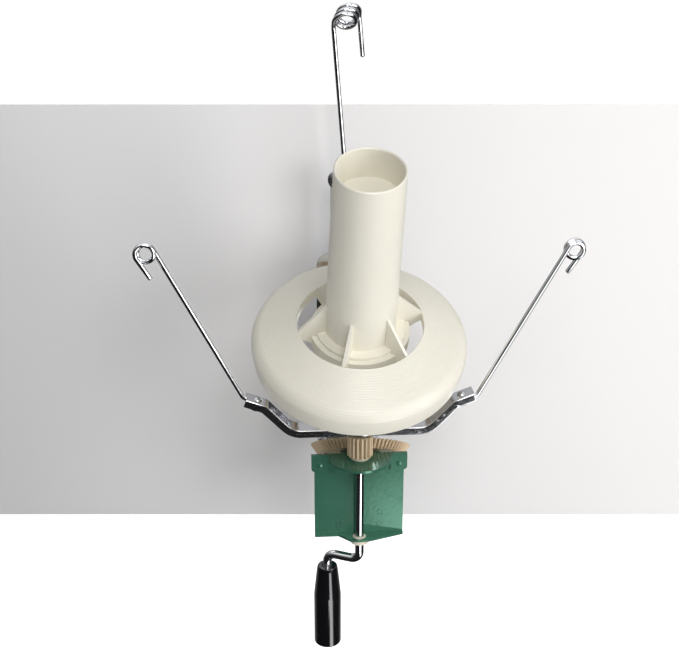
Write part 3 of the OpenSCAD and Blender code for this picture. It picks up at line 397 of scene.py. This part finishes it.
def turned(name, outline, steps):
    """A solid of revolution about Z through the origin, from (radius, height) points in mm."""
    piece = as_mesh(line_piece(name, [((r / 1000, 0, h / 1000), 1) for r, h in outline]))
    bpy.ops.object.mode_set(mode="EDIT")
    bpy.ops.mesh.select_all(action="SELECT")
    bpy.ops.mesh.spin(steps=steps, angle=2 * pi, center=(0, 0, 0), axis=(0, 0, 1))
    bpy.ops.object.mode_set(mode="OBJECT")
    weld(piece)
    return piece


def disc(name, x, y, z, radius, height):
    """A round plate that stands on the point."""
    bpy.ops.object.select_all(action="DESELECT")
    bpy.ops.mesh.primitive_cylinder_add(vertices=DISC_SIDES, radius=radius / 1000,
                                        depth=height / 1000, location=mm(x, y, z + height / 2))
    piece = bpy.context.object
    piece.name = name
    bpy.ops.object.transform_apply(location=True, rotation=True, scale=True)
    return piece


def softened(piece, width):
    """Rounds the sharp edges of a piece."""
    alone(piece)
    edge = piece.modifiers.new("edge", "BEVEL")
    edge.width = width / 1000
    edge.segments = 4
    edge.limit_method = "ANGLE"
    bpy.ops.object.modifier_apply(modifier=edge.name)
    return piece


def combine(piece, other, operation):
    """Joins the other piece to this one, or cuts it away."""
    alone(piece)
    cut = piece.modifiers.new("combine", "BOOLEAN")
    cut.operation = operation
    cut.solver = "EXACT"
    cut.object = other
    bpy.ops.object.modifier_apply(modifier=cut.name)
    bpy.data.objects.remove(other)


def flattened(piece):
    """Keeps the broad faces flat in the mirror, so that only the rounded edges bend it."""
    alone(piece)
    flats = piece.modifiers.new("flats", "WEIGHTED_NORMAL")
    flats.weight = 100
    flats.keep_sharp = True
    bpy.ops.object.modifier_apply(modifier=flats.name)


def put(piece, place):
    """Moves the finished mesh to its place, so that the object stays at the origin."""
    piece.matrix_world = place
    alone(piece)
    bpy.ops.object.transform_apply(location=True, rotation=True, scale=True)
    bpy.ops.object.shade_smooth_by_angle(angle=radians(35))
    return piece


def rounded(a, b, c, radius, steps):
    """Points of the arc that rounds the corner b of the line a, b, c."""
    u, v = (a - b).normalized(), (c - b).normalized()
    half = u.angle(v) / 2
    middle = b + (u + v).normalized() * radius / sin(half)
    p, q = b + u * radius / tan(half) - middle, b + v * radius / tan(half) - middle
    turn = pi - 2 * half
    return [middle + (p * sin((1 - i / steps) * turn) + q * sin(i / steps * turn)) / sin(turn)
            for i in range(steps + 1)]


def fillet(r, h, radius, start):
    """Quarter arc about (r, h) from the angle start, turning clockwise."""
    angles = [start - pi / 2 * i / FILLET_STEPS for i in range(FILLET_STEPS + 1)]
    return [(r + radius * cos(a), h + radius * sin(a)) for a in angles]


# Guide rods: the same wires as the solids, with rounded ends
GUIDE_R = 1.6
WIRE_FIT = 0.96  # keeps the wires inside the box of the solids
WIRE_END = ((0, 0.55), (0.35, 0.88), (0.8, 1.0))  # distances from the end with shares of thickness
TURN_STEPS = 72
FOOT_TURN = 1.5 * pi
FOOT_STEPS = 42
BEND_STEPS = 16

# Side guides, held under the tips of the bar
TIP_SCREW_R = 1.75
TIP_SCREW_X = 66
TIP_PLAY = 0.1
TIP_GAP = 0.25
FOOT_LOOP_R = TIP_SCREW_R + GUIDE_R + TIP_PLAY
TIP_SCREW_Y = BAR_FRONT + BAR_T + TIP_GAP + GUIDE_R + FOOT_LOOP_R
TIP_SEAT_Z = BAR_LEVEL + BAR_RISE + (TIP_SCREW_X - BAR_BEND_X) * tan(TIP_SLOPE)
TIP_SEAT = Vector((TIP_SCREW_X, TIP_SCREW_Y, TIP_SEAT_Z))
PAST_TIP = 1
SIDE_BEND_R = 4.5
SIDE_SWING = radians(-4)
SIDE_EYE_X = 132.5
SIDE_EYE_Z = 140
SIDE_EYE_R = 4.9
SIDE_EYE_GROW = 0.9
SIDE_TURNS = 1.5
SIDE_PITCH = 3.7
SIDE_TAIL = 15.5
SIDE_TAIL_TURN = radians(5)

# Back guide, held on the front of the back plate
BACK_Y = 104
BACK_SCREW_R = 2.0
BACK_PLAY = 2
BACK_LOOP_R = BACK_SCREW_R + GUIDE_R + BACK_PLAY
BACK_SCREW_X = -7.4
BACK_SCREW_Z = 164.6
BACK_SEAT = Vector((BACK_SCREW_X, BACK_Y - GUIDE_R, BACK_SCREW_Z))
BACK_ROD_X = -10.1
BACK_EYE_Z = 270
BACK_EYE_R = 7
BACK_EYE_TILT = radians(40)
BACK_TURNS = 2.5
BACK_PITCH = 4.2
BACK_SHIFT = 1.6
BACK_BEND_R = 5
BACK_STRAIGHT = 4
BACK_TAIL_LEN = 27
BACK_TAIL = BACK_TAIL_LEN * Vector((0.1, 0.05, -1)).normalized()


def foot_loop(seat, radius, across, along, start):
    """Three quarters of a turn round a screw."""
    angles = [start + FOOT_TURN * i / FOOT_STEPS for i in range(FOOT_STEPS + 1)]
    return [seat + radius * (across * cos(a) + along * sin(a)) for a in angles]


def side_guide_line():
    """The right guide: a loop under the bar's tip, a bend, the rod, its eye and a tail."""
    seat = TIP_SEAT - TIP_UP * (BAR_T + GUIDE_R)
    foot = foot_loop(seat, FOOT_LOOP_R, TIP_OUT, Vector((0, 1, 0)), -2 * pi)
    leave = seat - Vector((0, FOOT_LOOP_R, 0))
    corner = leave + TIP_OUT * (BAR_TIP_X - TIP_SCREW_X + PAST_TIP) / cos(TIP_SLOPE)
    out = Vector((cos(SIDE_SWING), sin(SIDE_SWING), 0))
    behind = Vector((-sin(SIDE_SWING), cos(SIDE_SWING), 0))
    up = Vector((0, 0, 1))
    run_x, run_z = (SIDE_EYE_X - corner.x) / cos(SIDE_SWING), SIDE_EYE_Z - corner.z
    rise = atan2(run_z, run_x) + asin(SIDE_EYE_R / hypot(run_x, run_z))
    eye = corner + out * run_x + up * run_z
    steps = int(TURN_STEPS * SIDE_TURNS)
    turns = []
    for i in range(steps + 1):
        done = i / steps
        a = rise + pi / 2 - 2 * pi * SIDE_TURNS * done
        radius = SIDE_EYE_R + SIDE_EYE_GROW * done
        turns.append(eye + radius * (out * cos(a) + up * sin(a))
                     + behind * SIDE_PITCH * SIDE_TURNS * done)
    way = out * cos(rise) + up * sin(rise)
    tail = way * cos(SIDE_TAIL_TURN) + behind.cross(way) * sin(SIDE_TAIL_TURN)
    bend = rounded(leave, corner, turns[0], SIDE_BEND_R, BEND_STEPS)
    return foot + bend + turns + [turns[-1] - tail * SIDE_TAIL]


def back_guide_line():
    """The back guide: a loop on the back plate, the rod, its tilted eye and a tail."""
    foot = foot_loop(BACK_SEAT, BACK_LOOP_R, Vector((1, 0, 0)), Vector((0, 0, 1)), -FOOT_TURN)
    eye = Vector((BACK_EYE_R + BACK_ROD_X, BACK_SEAT.y, BACK_EYE_Z))
    across = Vector((1, 0, 0))
    axis = Vector((0, cos(BACK_EYE_TILT), sin(BACK_EYE_TILT)))
    up = Vector((0, -sin(BACK_EYE_TILT), cos(BACK_EYE_TILT)))
    step = axis * BACK_PITCH + across * BACK_SHIFT
    steps = int(TURN_STEPS * BACK_TURNS)
    turns = []
    for i in range(steps + 1):
        done = BACK_TURNS * i / steps
        a = pi - 2 * pi * done
        turns.append(eye + BACK_EYE_R * (across * cos(a) + up * sin(a)) + step * done)
    before, corner = turns[0] - up * BACK_STRAIGHT, turns[-1] - up * BACK_STRAIGHT
    tail = corner + BACK_TAIL
    return (foot + rounded(foot[-1], before, turns[0], BACK_BEND_R, BEND_STEPS) + turns[1:-1]
            + rounded(turns[-1], corner, tail, BACK_BEND_R, BEND_STEPS) + [tail])


def wire(name, points):
    """A round wire along the points, with its two ends rounded off."""
    first = (points[0] - points[1]).normalized()
    last = (points[-1] - points[-2]).normalized()
    line = [(points[0] - first * back, share) for back, share in WIRE_END]
    line += [(p, 1.0) for p in points[1:-1]]
    line += [(points[-1] - last * back, share) for back, share in reversed(WIRE_END)]
    piece = line_piece(name, [(mm(*p), share) for p, share in line])
    piece.data.bevel_depth = WIRE_FIT * GUIDE_R / 1000
    piece.data.bevel_resolution = 6
    piece.data.use_fill_caps = True
    piece = as_mesh(piece)
    bpy.ops.object.shade_smooth_by_angle(angle=radians(40))
    return piece


def side_guides():
    """The right guide, and the left one, which is the same wire turned half round."""
    right = side_guide_line()
    left = [Vector((-p.x, 2 * TIP_SCREW_Y - p.y, p.z)) for p in right]
    dress(wire("left_guide_rod", left), "chrome", "base", "left_guide")
    dress(wire("right_guide_rod", right), "chrome", "base", "right_guide")


def back_guide():
    dress(wire("back_guide_rod", back_guide_line()), "chrome", "base", "back_guide")


# Guide bar: an angle section with rounded edges, folded at both ends
LOWER_FOLD_R = 12
UPPER_FOLD_R = 9
LOWER_FOLD_STEPS = 14
UPPER_FOLD_STEPS = 12
BAR_EDGE = 0.73
FLAT_BACK = 0.7
FLAT_EDGE = 0.3
BAR_HUB_R = 14.5
BAR_HUB_EDGE = 0.6
BAR_BORE_R = 4.0


def bar_line(d):
    """Right half of the bar's outline, d below its top."""
    fold = atan2(BAR_RISE, BAR_BEND_X - BAR_LEVEL_X)
    slope = tan(TIP_SLOPE)
    middle = Vector((0, 0, BAR_LEVEL - d))
    low = Vector((BAR_LEVEL_X + d * tan(fold / 2), 0, BAR_LEVEL - d))
    bend_z = BAR_LEVEL + BAR_RISE - d / cos(TIP_SLOPE)
    bend_out = d * tan((fold + TIP_SLOPE) / 2) * cos(TIP_SLOPE)
    bend = Vector((BAR_BEND_X + bend_out, 0, bend_z + bend_out * slope))
    tip_x = BAR_TIP_X + d * sin(TIP_SLOPE)
    tip = Vector((tip_x, 0, bend_z + (tip_x - BAR_BEND_X) * slope))
    return (rounded(middle, low, bend, LOWER_FOLD_R + d, LOWER_FOLD_STEPS)
            + rounded(low, bend, tip, UPPER_FOLD_R - d, UPPER_FOLD_STEPS) + [tip])


def band(name, height, near, depth, edge):
    """A folded plate as tall as height, from near to near + depth, with its edges rounded."""
    upper, lower = bar_line(0), bar_line(height)
    ring = [(-p.x, p.z) for p in reversed(upper)] + [(p.x, p.z) for p in upper]
    ring += [(p.x, p.z) for p in reversed(lower)] + [(-p.x, p.z) for p in lower]
    dots = [((x / 1000, z / 1000, 0), 1) for x, z in ring]
    plate = line_piece(name, dots, "2D", closed=True)
    plate.data.fill_mode = "BOTH"
    plate.data.extrude = (depth / 2 - edge) / 1000
    plate.data.bevel_depth = edge / 1000
    plate.data.bevel_resolution = 5
    plate.data.offset = -edge / 1000
    plate.location = mm(0, near + depth / 2, 0)
    plate.rotation_euler = (pi / 2, 0, 0)
    plate = as_mesh(plate)
    bpy.ops.object.transform_apply(location=True, rotation=True, scale=True)
    weld(plate)
    return plate


def guide_bar():
    """The upright front of the bar, the flat behind it and the hub that the shaft passes."""
    bar = band("guide_bar_angle", BAR_H, BAR_FRONT, BAR_T, BAR_EDGE)
    flat = band("bar_flat", BAR_T, BAR_FRONT + FLAT_BACK, BAR_DEPTH - FLAT_BACK, FLAT_EDGE)
    combine(bar, flat, "UNION")
    hub = disc("bar_hub", 0, 0, BAR_LEVEL - BAR_T, BAR_HUB_R, BAR_T)
    combine(bar, softened(hub, BAR_HUB_EDGE), "UNION")
    bore = disc("bar_bore", 0, 0, BAR_LEVEL - BAR_H, BAR_BORE_R, 2 * BAR_H)
    combine(bar, bore, "DIFFERENCE")
    alone(bar)
    bpy.ops.object.shade_smooth_by_angle(angle=radians(32))
    flattened(bar)
    dress(bar, "chrome", "base", "guide_bar")


# Grip: a turned handle that widens downwards, bored for the crank's pin, with a recess below
GRIP_Z = -86.9
GRIP_LEN = 62.0
GRIP_R = 9.4
GRIP_TOP_R = 6.8
GRIP_BORE_R = 3.06
GRIP_TOP_ROUND = 0.9
GRIP_FOOT_ROUND = 1.2
TAPER_START = 1.6
TAPER_START_R = 7.1
TAPER_END = 22.0
TAPER_END_R = 9.3
TAPER_SWELL = 0.92
TAPER_STEPS = 10
FOOT_RECESS_R = 5.6
FOOT_RECESS_H = 6.2
FOOT_RECESS_EDGE = 0.3


def grip_taper():
    """The swelling part of the grip, from its rounded top down to its full width."""
    wider = TAPER_END_R - TAPER_START_R
    longer = TAPER_END - TAPER_START
    shares = [i / TAPER_STEPS for i in range(TAPER_STEPS + 1)]
    return [(TAPER_START_R + wider * share ** TAPER_SWELL, -TAPER_START - longer * share)
            for share in shares]


def grip_outline():
    recess_top = FOOT_RECESS_H - GRIP_LEN
    line = [(GRIP_BORE_R, 0)]
    line += fillet(GRIP_TOP_R - GRIP_TOP_ROUND, -GRIP_TOP_ROUND, GRIP_TOP_ROUND, pi / 2)
    line += grip_taper()
    line += [(GRIP_R - 0.04, -TAPER_END - 0.8), (GRIP_R, -TAPER_END - 2.5)]
    line += fillet(GRIP_R - GRIP_FOOT_ROUND, GRIP_FOOT_ROUND - GRIP_LEN, GRIP_FOOT_ROUND, 0)
    line += [(FOOT_RECESS_R + FOOT_RECESS_EDGE, -GRIP_LEN)]
    line += [(FOOT_RECESS_R, FOOT_RECESS_EDGE - GRIP_LEN), (FOOT_RECESS_R, recess_top)]
    line += [(GRIP_BORE_R, recess_top), (GRIP_BORE_R, 0)]
    return line


def grip():
    x, y = CRANK_THROW * cos(CRANK_ANGLE), CRANK_THROW * sin(CRANK_ANGLE)
    handle = put(turned("grip_barrel", grip_outline(), 128), Matrix.Translation(mm(x, y, GRIP_Z)))
    dress(handle, "black_plastic", "grip", "grip")


# Flange of the bobbin: a cone with fine turned rings, rounded over into a skirt
# R is a radius round the spindle, and L a height along it from the bend of its rod
SPINDLE = Matrix.Translation(mm(0, 0, PIVOT_H)) @ Matrix.Rotation(LEAN, 4, "X")
HOLE_R = 40.2
HOLE_L = -7.1
HOLE_EDGE_H = 7.0
FLANGE_R = 69.6
FLANGE_WALL = 2.2
CONE_FALL = 12
CONE_SLOPE = CONE_FALL / (FLANGE_R - HOLE_R)
CONE_TILT = atan2(CONE_SLOPE, 1)
ROUND_R = 10.0
RINGS_FROM = 1.4
RINGS_DOWN = 0.8
RING_PITCH = 1.6
RING_DEPTH = 0.12
RING_STEPS = 7


def cone_l(r):
    """Height of the cone's top along the spindle, at the radius r."""
    return HOLE_L - (r - HOLE_R) * CONE_SLOPE


ROUND_MID_R = FLANGE_R - ROUND_R
ROUND_MID_L = cone_l(ROUND_MID_R + ROUND_R * sin(CONE_TILT)) - ROUND_R * cos(CONE_TILT)
SKIRT_L = cone_l(FLANGE_R - 9) - 22
SKIRT_EDGE = 0.4
SKIRT_DRAFT = 1.5
SKIRT_FOOT_WALL = 2.3
SKIRT_TOP_WALL = 2.4
UNDERSIDE_ANGLES = (0.3, 0.6, 0.9, pi / 2 - CONE_TILT)


def hole_edge():
    """The edge of the flange's hole, from its foot up over its rounded lip."""
    foot = HOLE_L - HOLE_EDGE_H
    return [(HOLE_R + FLANGE_WALL, foot), (HOLE_R, foot), (HOLE_R, HOLE_L - 0.8),
            (HOLE_R + 0.15, HOLE_L - 0.35), (HOLE_R + 0.5, HOLE_L - 0.1)]


def ringed_top():
    """The cone and most of its rounded shoulder, with a fine ring cut at every pitch."""
    start_r = HOLE_R + RINGS_FROM
    cone_run = (ROUND_MID_R + ROUND_R * sin(CONE_TILT) - start_r) / cos(CONE_TILT)
    shoulder = ROUND_R * (pi / 2 - CONE_TILT)
    count = int((cone_run + RINGS_DOWN * shoulder) / RING_PITCH * RING_STEPS)
    line = []
    for i in range(count + 1):
        gone = i * RING_PITCH / RING_STEPS
        if gone < cone_run:
            lean = CONE_TILT
            r = start_r + gone * cos(lean)
            along = cone_l(r)
        else:
            lean = CONE_TILT + (gone - cone_run) / ROUND_R
            r = ROUND_MID_R + ROUND_R * sin(lean)
            along = ROUND_MID_L + ROUND_R * cos(lean)
        cut = RING_DEPTH * (0.5 + 0.5 * cos(2 * pi * i / RING_STEPS)) ** 2
        line.append((r - cut * sin(lean), along - cut * cos(lean)))
    return line


def skirt():
    """The skirt, down its outside, round its edge and up its inside."""
    outer = FLANGE_R - SKIRT_DRAFT
    inner = outer - SKIRT_FOOT_WALL
    return [(FLANGE_R, ROUND_MID_L), (outer, SKIRT_L + SKIRT_EDGE), (outer - SKIRT_EDGE, SKIRT_L),
            (inner + SKIRT_EDGE, SKIRT_L), (inner, SKIRT_L + SKIRT_EDGE),
            (FLANGE_R - SKIRT_TOP_WALL, ROUND_MID_L)]


def underside():
    """The inside of the shoulder and the cone, back to the hole's edge."""
    inner_r = ROUND_R - FLANGE_WALL
    line = [(ROUND_MID_R + inner_r * cos(a), ROUND_MID_L + inner_r * sin(a)) for a in UNDERSIDE_ANGLES]
    return line + [(HOLE_R + FLANGE_WALL, cone_l(HOLE_R + FLANGE_WALL) - 2.3)]


def bobbin_flange():
    edge = hole_edge()
    outline = edge + ringed_top() + skirt() + underside() + [edge[0]]
    dress(put(turned("flange_shell", outline, 192), SPINDLE), "ivory_plastic", "bobbin",
          "bobbin_flange")


# Cross-recess screws at the bar's tips and at the foot of the back guide
SCREW_LEN = 7.5
SCREW_END = 0.3
DOME_STEPS = 14
RECESS_TURN = 0.35
RECESS_LEN, RECESS_W, RECESS_H = 1.15, 0.24, 1.1  # shares of the head's size
TIP_HEAD_R, TIP_HEAD_H = 3.0, 1.9
BACK_HEAD_H = 2.4


def cross_screw(name, head_r, head_h, shank_r, place):
    """A domed head with a cross recess on its shank, facing +Z."""
    ball = (head_r ** 2 + head_h ** 2) / (2 * head_h)
    width = atan2(head_r, ball - head_h)
    angles = [width * i / DOME_STEPS for i in range(DOME_STEPS + 1)]
    line = [(ball * sin(a), head_h - ball + ball * cos(a)) for a in angles]
    line += [(shank_r, 0), (shank_r, SCREW_END - SCREW_LEN)]
    line += [(shank_r - SCREW_END, -SCREW_LEN), (0, -SCREW_LEN)]
    screw = turned(name, line, 64)
    for turn in (0, pi / 2):
        bpy.ops.object.select_all(action="DESELECT")
        bpy.ops.mesh.primitive_cube_add(size=0.001, location=(0, 0, head_h / 1000))
        blade = bpy.context.object
        blade.scale = (head_r * RECESS_LEN, head_r * RECESS_W, head_h * RECESS_H)
        blade.rotation_euler = (0, 0, turn + RECESS_TURN)
        bpy.ops.object.transform_apply(location=True, rotation=True, scale=True)
        combine(screw, blade, "DIFFERENCE")
    return put(screw, place)


def tip_screws():
    """A screw in each raised tip of the bar, square to the tip's slope."""
    for side, label in ((1, "right"), (-1, "left")):
        place = (Matrix.Translation(mm(side * TIP_SEAT.x, TIP_SEAT.y, TIP_SEAT.z))
                 @ Matrix.Rotation(-side * TIP_SLOPE, 4, "Y"))
        dress(cross_screw(label + "_tip_screw", TIP_HEAD_R, TIP_HEAD_H, TIP_SCREW_R, place),
              "zinc_plate", "base", "guide_screws")


def back_screw():
    """The screw through the back guide's loop, with its head to the front."""
    place = (Matrix.Translation(mm(BACK_SEAT.x, BACK_Y - 2 * GUIDE_R, BACK_SEAT.z))
             @ Matrix.Rotation(pi / 2, 4, "X"))
    dress(cross_screw("back_guide_screw", BACK_LOOP_R, BACK_HEAD_H, BACK_SCREW_R, place),
          "zinc_plate", "base", "guide_screws")


# Studio: white surroundings and a pale board behind the winder, seen from the front only
FLOOR_Z = -0.30
FLOOR_REACH = 4
BOARD_Y = 0.05
BOARD_LEFT, BOARD_RIGHT = -160, 840  # the board's sides and ends, in pixels of the photograph
BOARD_TOP, BOARD_BOTTOM = 104.5, 514.5
# painted light: the board's colour darkens to the left and downwards, as the light falls off
BOARD_PAINTED_LIGHT_TONES = ((0.0, (0.65, 0.65, 0.66)), (0.3, (0.80, 0.795, 0.80)), (1.0, (0.90, 0.885, 0.88)))
MATT = 0.9
WHITE = (1, 1, 1, 1)


def sheet_at(name, corners, material):
    """A flat sheet of the studio, which mirrors don't show."""
    mesh = bpy.data.meshes.new(name)
    mesh.from_pydata([tuple(c) for c in corners], [], [(0, 1, 2, 3)])
    board = bpy.data.objects.new(name, mesh)
    bpy.context.collection.objects.link(board)
    mesh.materials.append(material)
    board.visible_glossy = False


def floor_material():
    """A floor that the camera sees as plain white."""
    material, tree, shader = plain_material("white_floor")
    shader.inputs["Base Color"].default_value = (0.9, 0.9, 0.9, 1)
    shader.inputs["Roughness"].default_value = MATT
    shader.inputs["Emission Color"].default_value = WHITE
    path = tree.nodes.new("ShaderNodeLightPath")
    tree.links.new(path.outputs["Is Camera Ray"], shader.inputs["Emission Strength"])
    return material


def board_material():
    """Matt grey with painted light, darker to the lower left and paler to the upper right, and clear
    from behind.
    """
    material, tree, shader = plain_material("pale_board")
    shader.inputs["Roughness"].default_value = MATT
    shader.inputs["Specular IOR Level"].default_value = 0.0
    across = tree.nodes.new("ShaderNodeVectorMath")
    across.operation = "DOT_PRODUCT"
    across.inputs[1].default_value = tuple(RIGHT + UP * 0.35)
    tree.links.new(on_piece(tree), across.inputs[0])
    # painted light across the board, paler to the upper right
    painted_light = spread(tree, across.outputs["Value"], -0.28, 0.22, 0, 1)
    tree.links.new(ramp_of(tree, painted_light, BOARD_PAINTED_LIGHT_TONES), shader.inputs["Base Color"])
    seen = tree.nodes.new("ShaderNodeNewGeometry")
    clear = tree.nodes.new("ShaderNodeBsdfTransparent")
    pick = tree.nodes.new("ShaderNodeMixShader")
    tree.links.new(seen.outputs["Backfacing"], pick.inputs[0])
    tree.links.new(shader.outputs[0], pick.inputs[1])
    tree.links.new(clear.outputs[0], pick.inputs[2])
    tree.links.new(pick.outputs[0], tree.nodes["Material Output"].inputs["Surface"])
    return material


def floor():
    sides = ((-1, -1), (1, -1), (1, 1), (-1, 1))
    corners = [(x * FLOOR_REACH, y * FLOOR_REACH, FLOOR_Z) for x, y in sides]
    sheet_at("floor", corners, floor_material())


def backdrop():
    """A board whose corners lie behind the given pixels of the photograph."""
    corners = []
    for u, v in ((BOARD_LEFT, BOARD_BOTTOM), (BOARD_RIGHT, BOARD_BOTTOM),
                 (BOARD_RIGHT, BOARD_TOP), (BOARD_LEFT, BOARD_TOP)):
        ray = LOOK + RIGHT * (u - PHOTO_W / 2) / FOCAL + UP * (PHOTO_H / 2 - v) / FOCAL
        corners.append(EYE + ray * (BOARD_Y - EYE.y) / ray.y)
    sheet_at("backdrop_board", corners, board_material())


# Lamps, and what polished metal mirrors, drawn as levels over the direction's X, Y and Z
def window(start, full, fade, end):
    """A light that is full between two places and fades out to both sides."""
    return ((start, 0.0), (full, 1.0), (fade, 1.0), (end, 0.0))


FILL = 0.30
ROOM = ((0.0, 0.012), (0.5, 0.02), (0.6, 0.07), (0.68, 0.2), (0.8, 0.42), (0.88, 1.0))
FRONT = ((0.35, 1.0), (0.45, 0.0))
REAR = ((0.6, 0.0), (0.8, 0.22))
STRIP = (window(0.61, 0.63, 0.74, 0.8), window(0.1, 0.16, 0.38, 0.44), 4.0)
PANEL = (window(0.54, 0.55, 0.62, 0.63), window(0.2, 0.23, 0.258, 0.272), 4.0)
HIGH_LIGHT = (window(0.43, 0.47, 0.6, 0.64), window(0.57, 0.61, 0.78, 0.84), 3.5)


def soft_lamp(name, place, aim, size, watts):
    """A square lamp at the place, turned to the aim."""
    data = bpy.data.lights.new(name, "AREA")
    data.size = size
    data.energy = watts
    lamp = bpy.data.objects.new(name, data)
    bpy.context.collection.objects.link(lamp)
    lamp.location = place
    lamp.rotation_euler = (Vector(aim) - Vector(place)).to_track_quat("-Z", "Y").to_euler()


def lamps():
    """A wide lamp in front on the right, and a smaller one high behind the camera."""
    soft_lamp("key_lamp", place=(0.98, -0.96, 0.26), aim=(0, -0.08, 0.1), size=0.8, watts=9.0)
    soft_lamp("top_lamp", place=(0.05, -1.03, 0.85), aim=(0, -0.13, 0.2), size=0.45, watts=4.9)


def level(tree, value, dots):
    """A value from -1 to 1, taken through a ramp of places with their levels."""
    return ramp_of(tree, spread(tree, value, -1, 1, 0, 1), [(at, (grey,) * 3) for at, grey in dots])


def mirrored_room(tree):
    """A dark room that pales upwards and to the rear, with three lights at the front."""
    way = tree.nodes.new("ShaderNodeTexCoord")
    split = tree.nodes.new("ShaderNodeSeparateXYZ")
    tree.links.new(way.outputs["Generated"], split.inputs[0])
    x, y, z = split.outputs
    front = level(tree, y, FRONT)
    room = joined(tree, "ADD", level(tree, z, ROOM), level(tree, y, REAR))
    for wide, tall, strength in (STRIP, PANEL, HIGH_LIGHT):
        pane = joined(tree, "MULTIPLY", level(tree, x, wide), level(tree, z, tall))
        lit = joined(tree, "MULTIPLY", joined(tree, "MULTIPLY", pane, front), strength)
        room = joined(tree, "ADD", room, lit)
    return room


def world_light():
    """An even fill, the mirrored room for glossy rays and white for the camera."""
    world = bpy.data.worlds.new("studio")
    bpy.context.scene.world = world
    world.use_nodes = True
    tree = world.node_tree
    path = tree.nodes.new("ShaderNodeLightPath")
    lit = mixed(tree, path.outputs["Is Glossy Ray"], (FILL, FILL, FILL, 1), mirrored_room(tree))
    seen = mixed(tree, path.outputs["Is Camera Ray"], lit, WHITE)
    tree.links.new(seen, tree.nodes["Background"].inputs["Color"])


dress_solids()
side_guides()
back_guide()
guide_bar()
grip()
bobbin_flange()
tip_screws()
back_screw()
place_camera()
floor()
backdrop()
lamps()
world_light()
bpy.context.scene.view_settings.view_transform = "Standard"
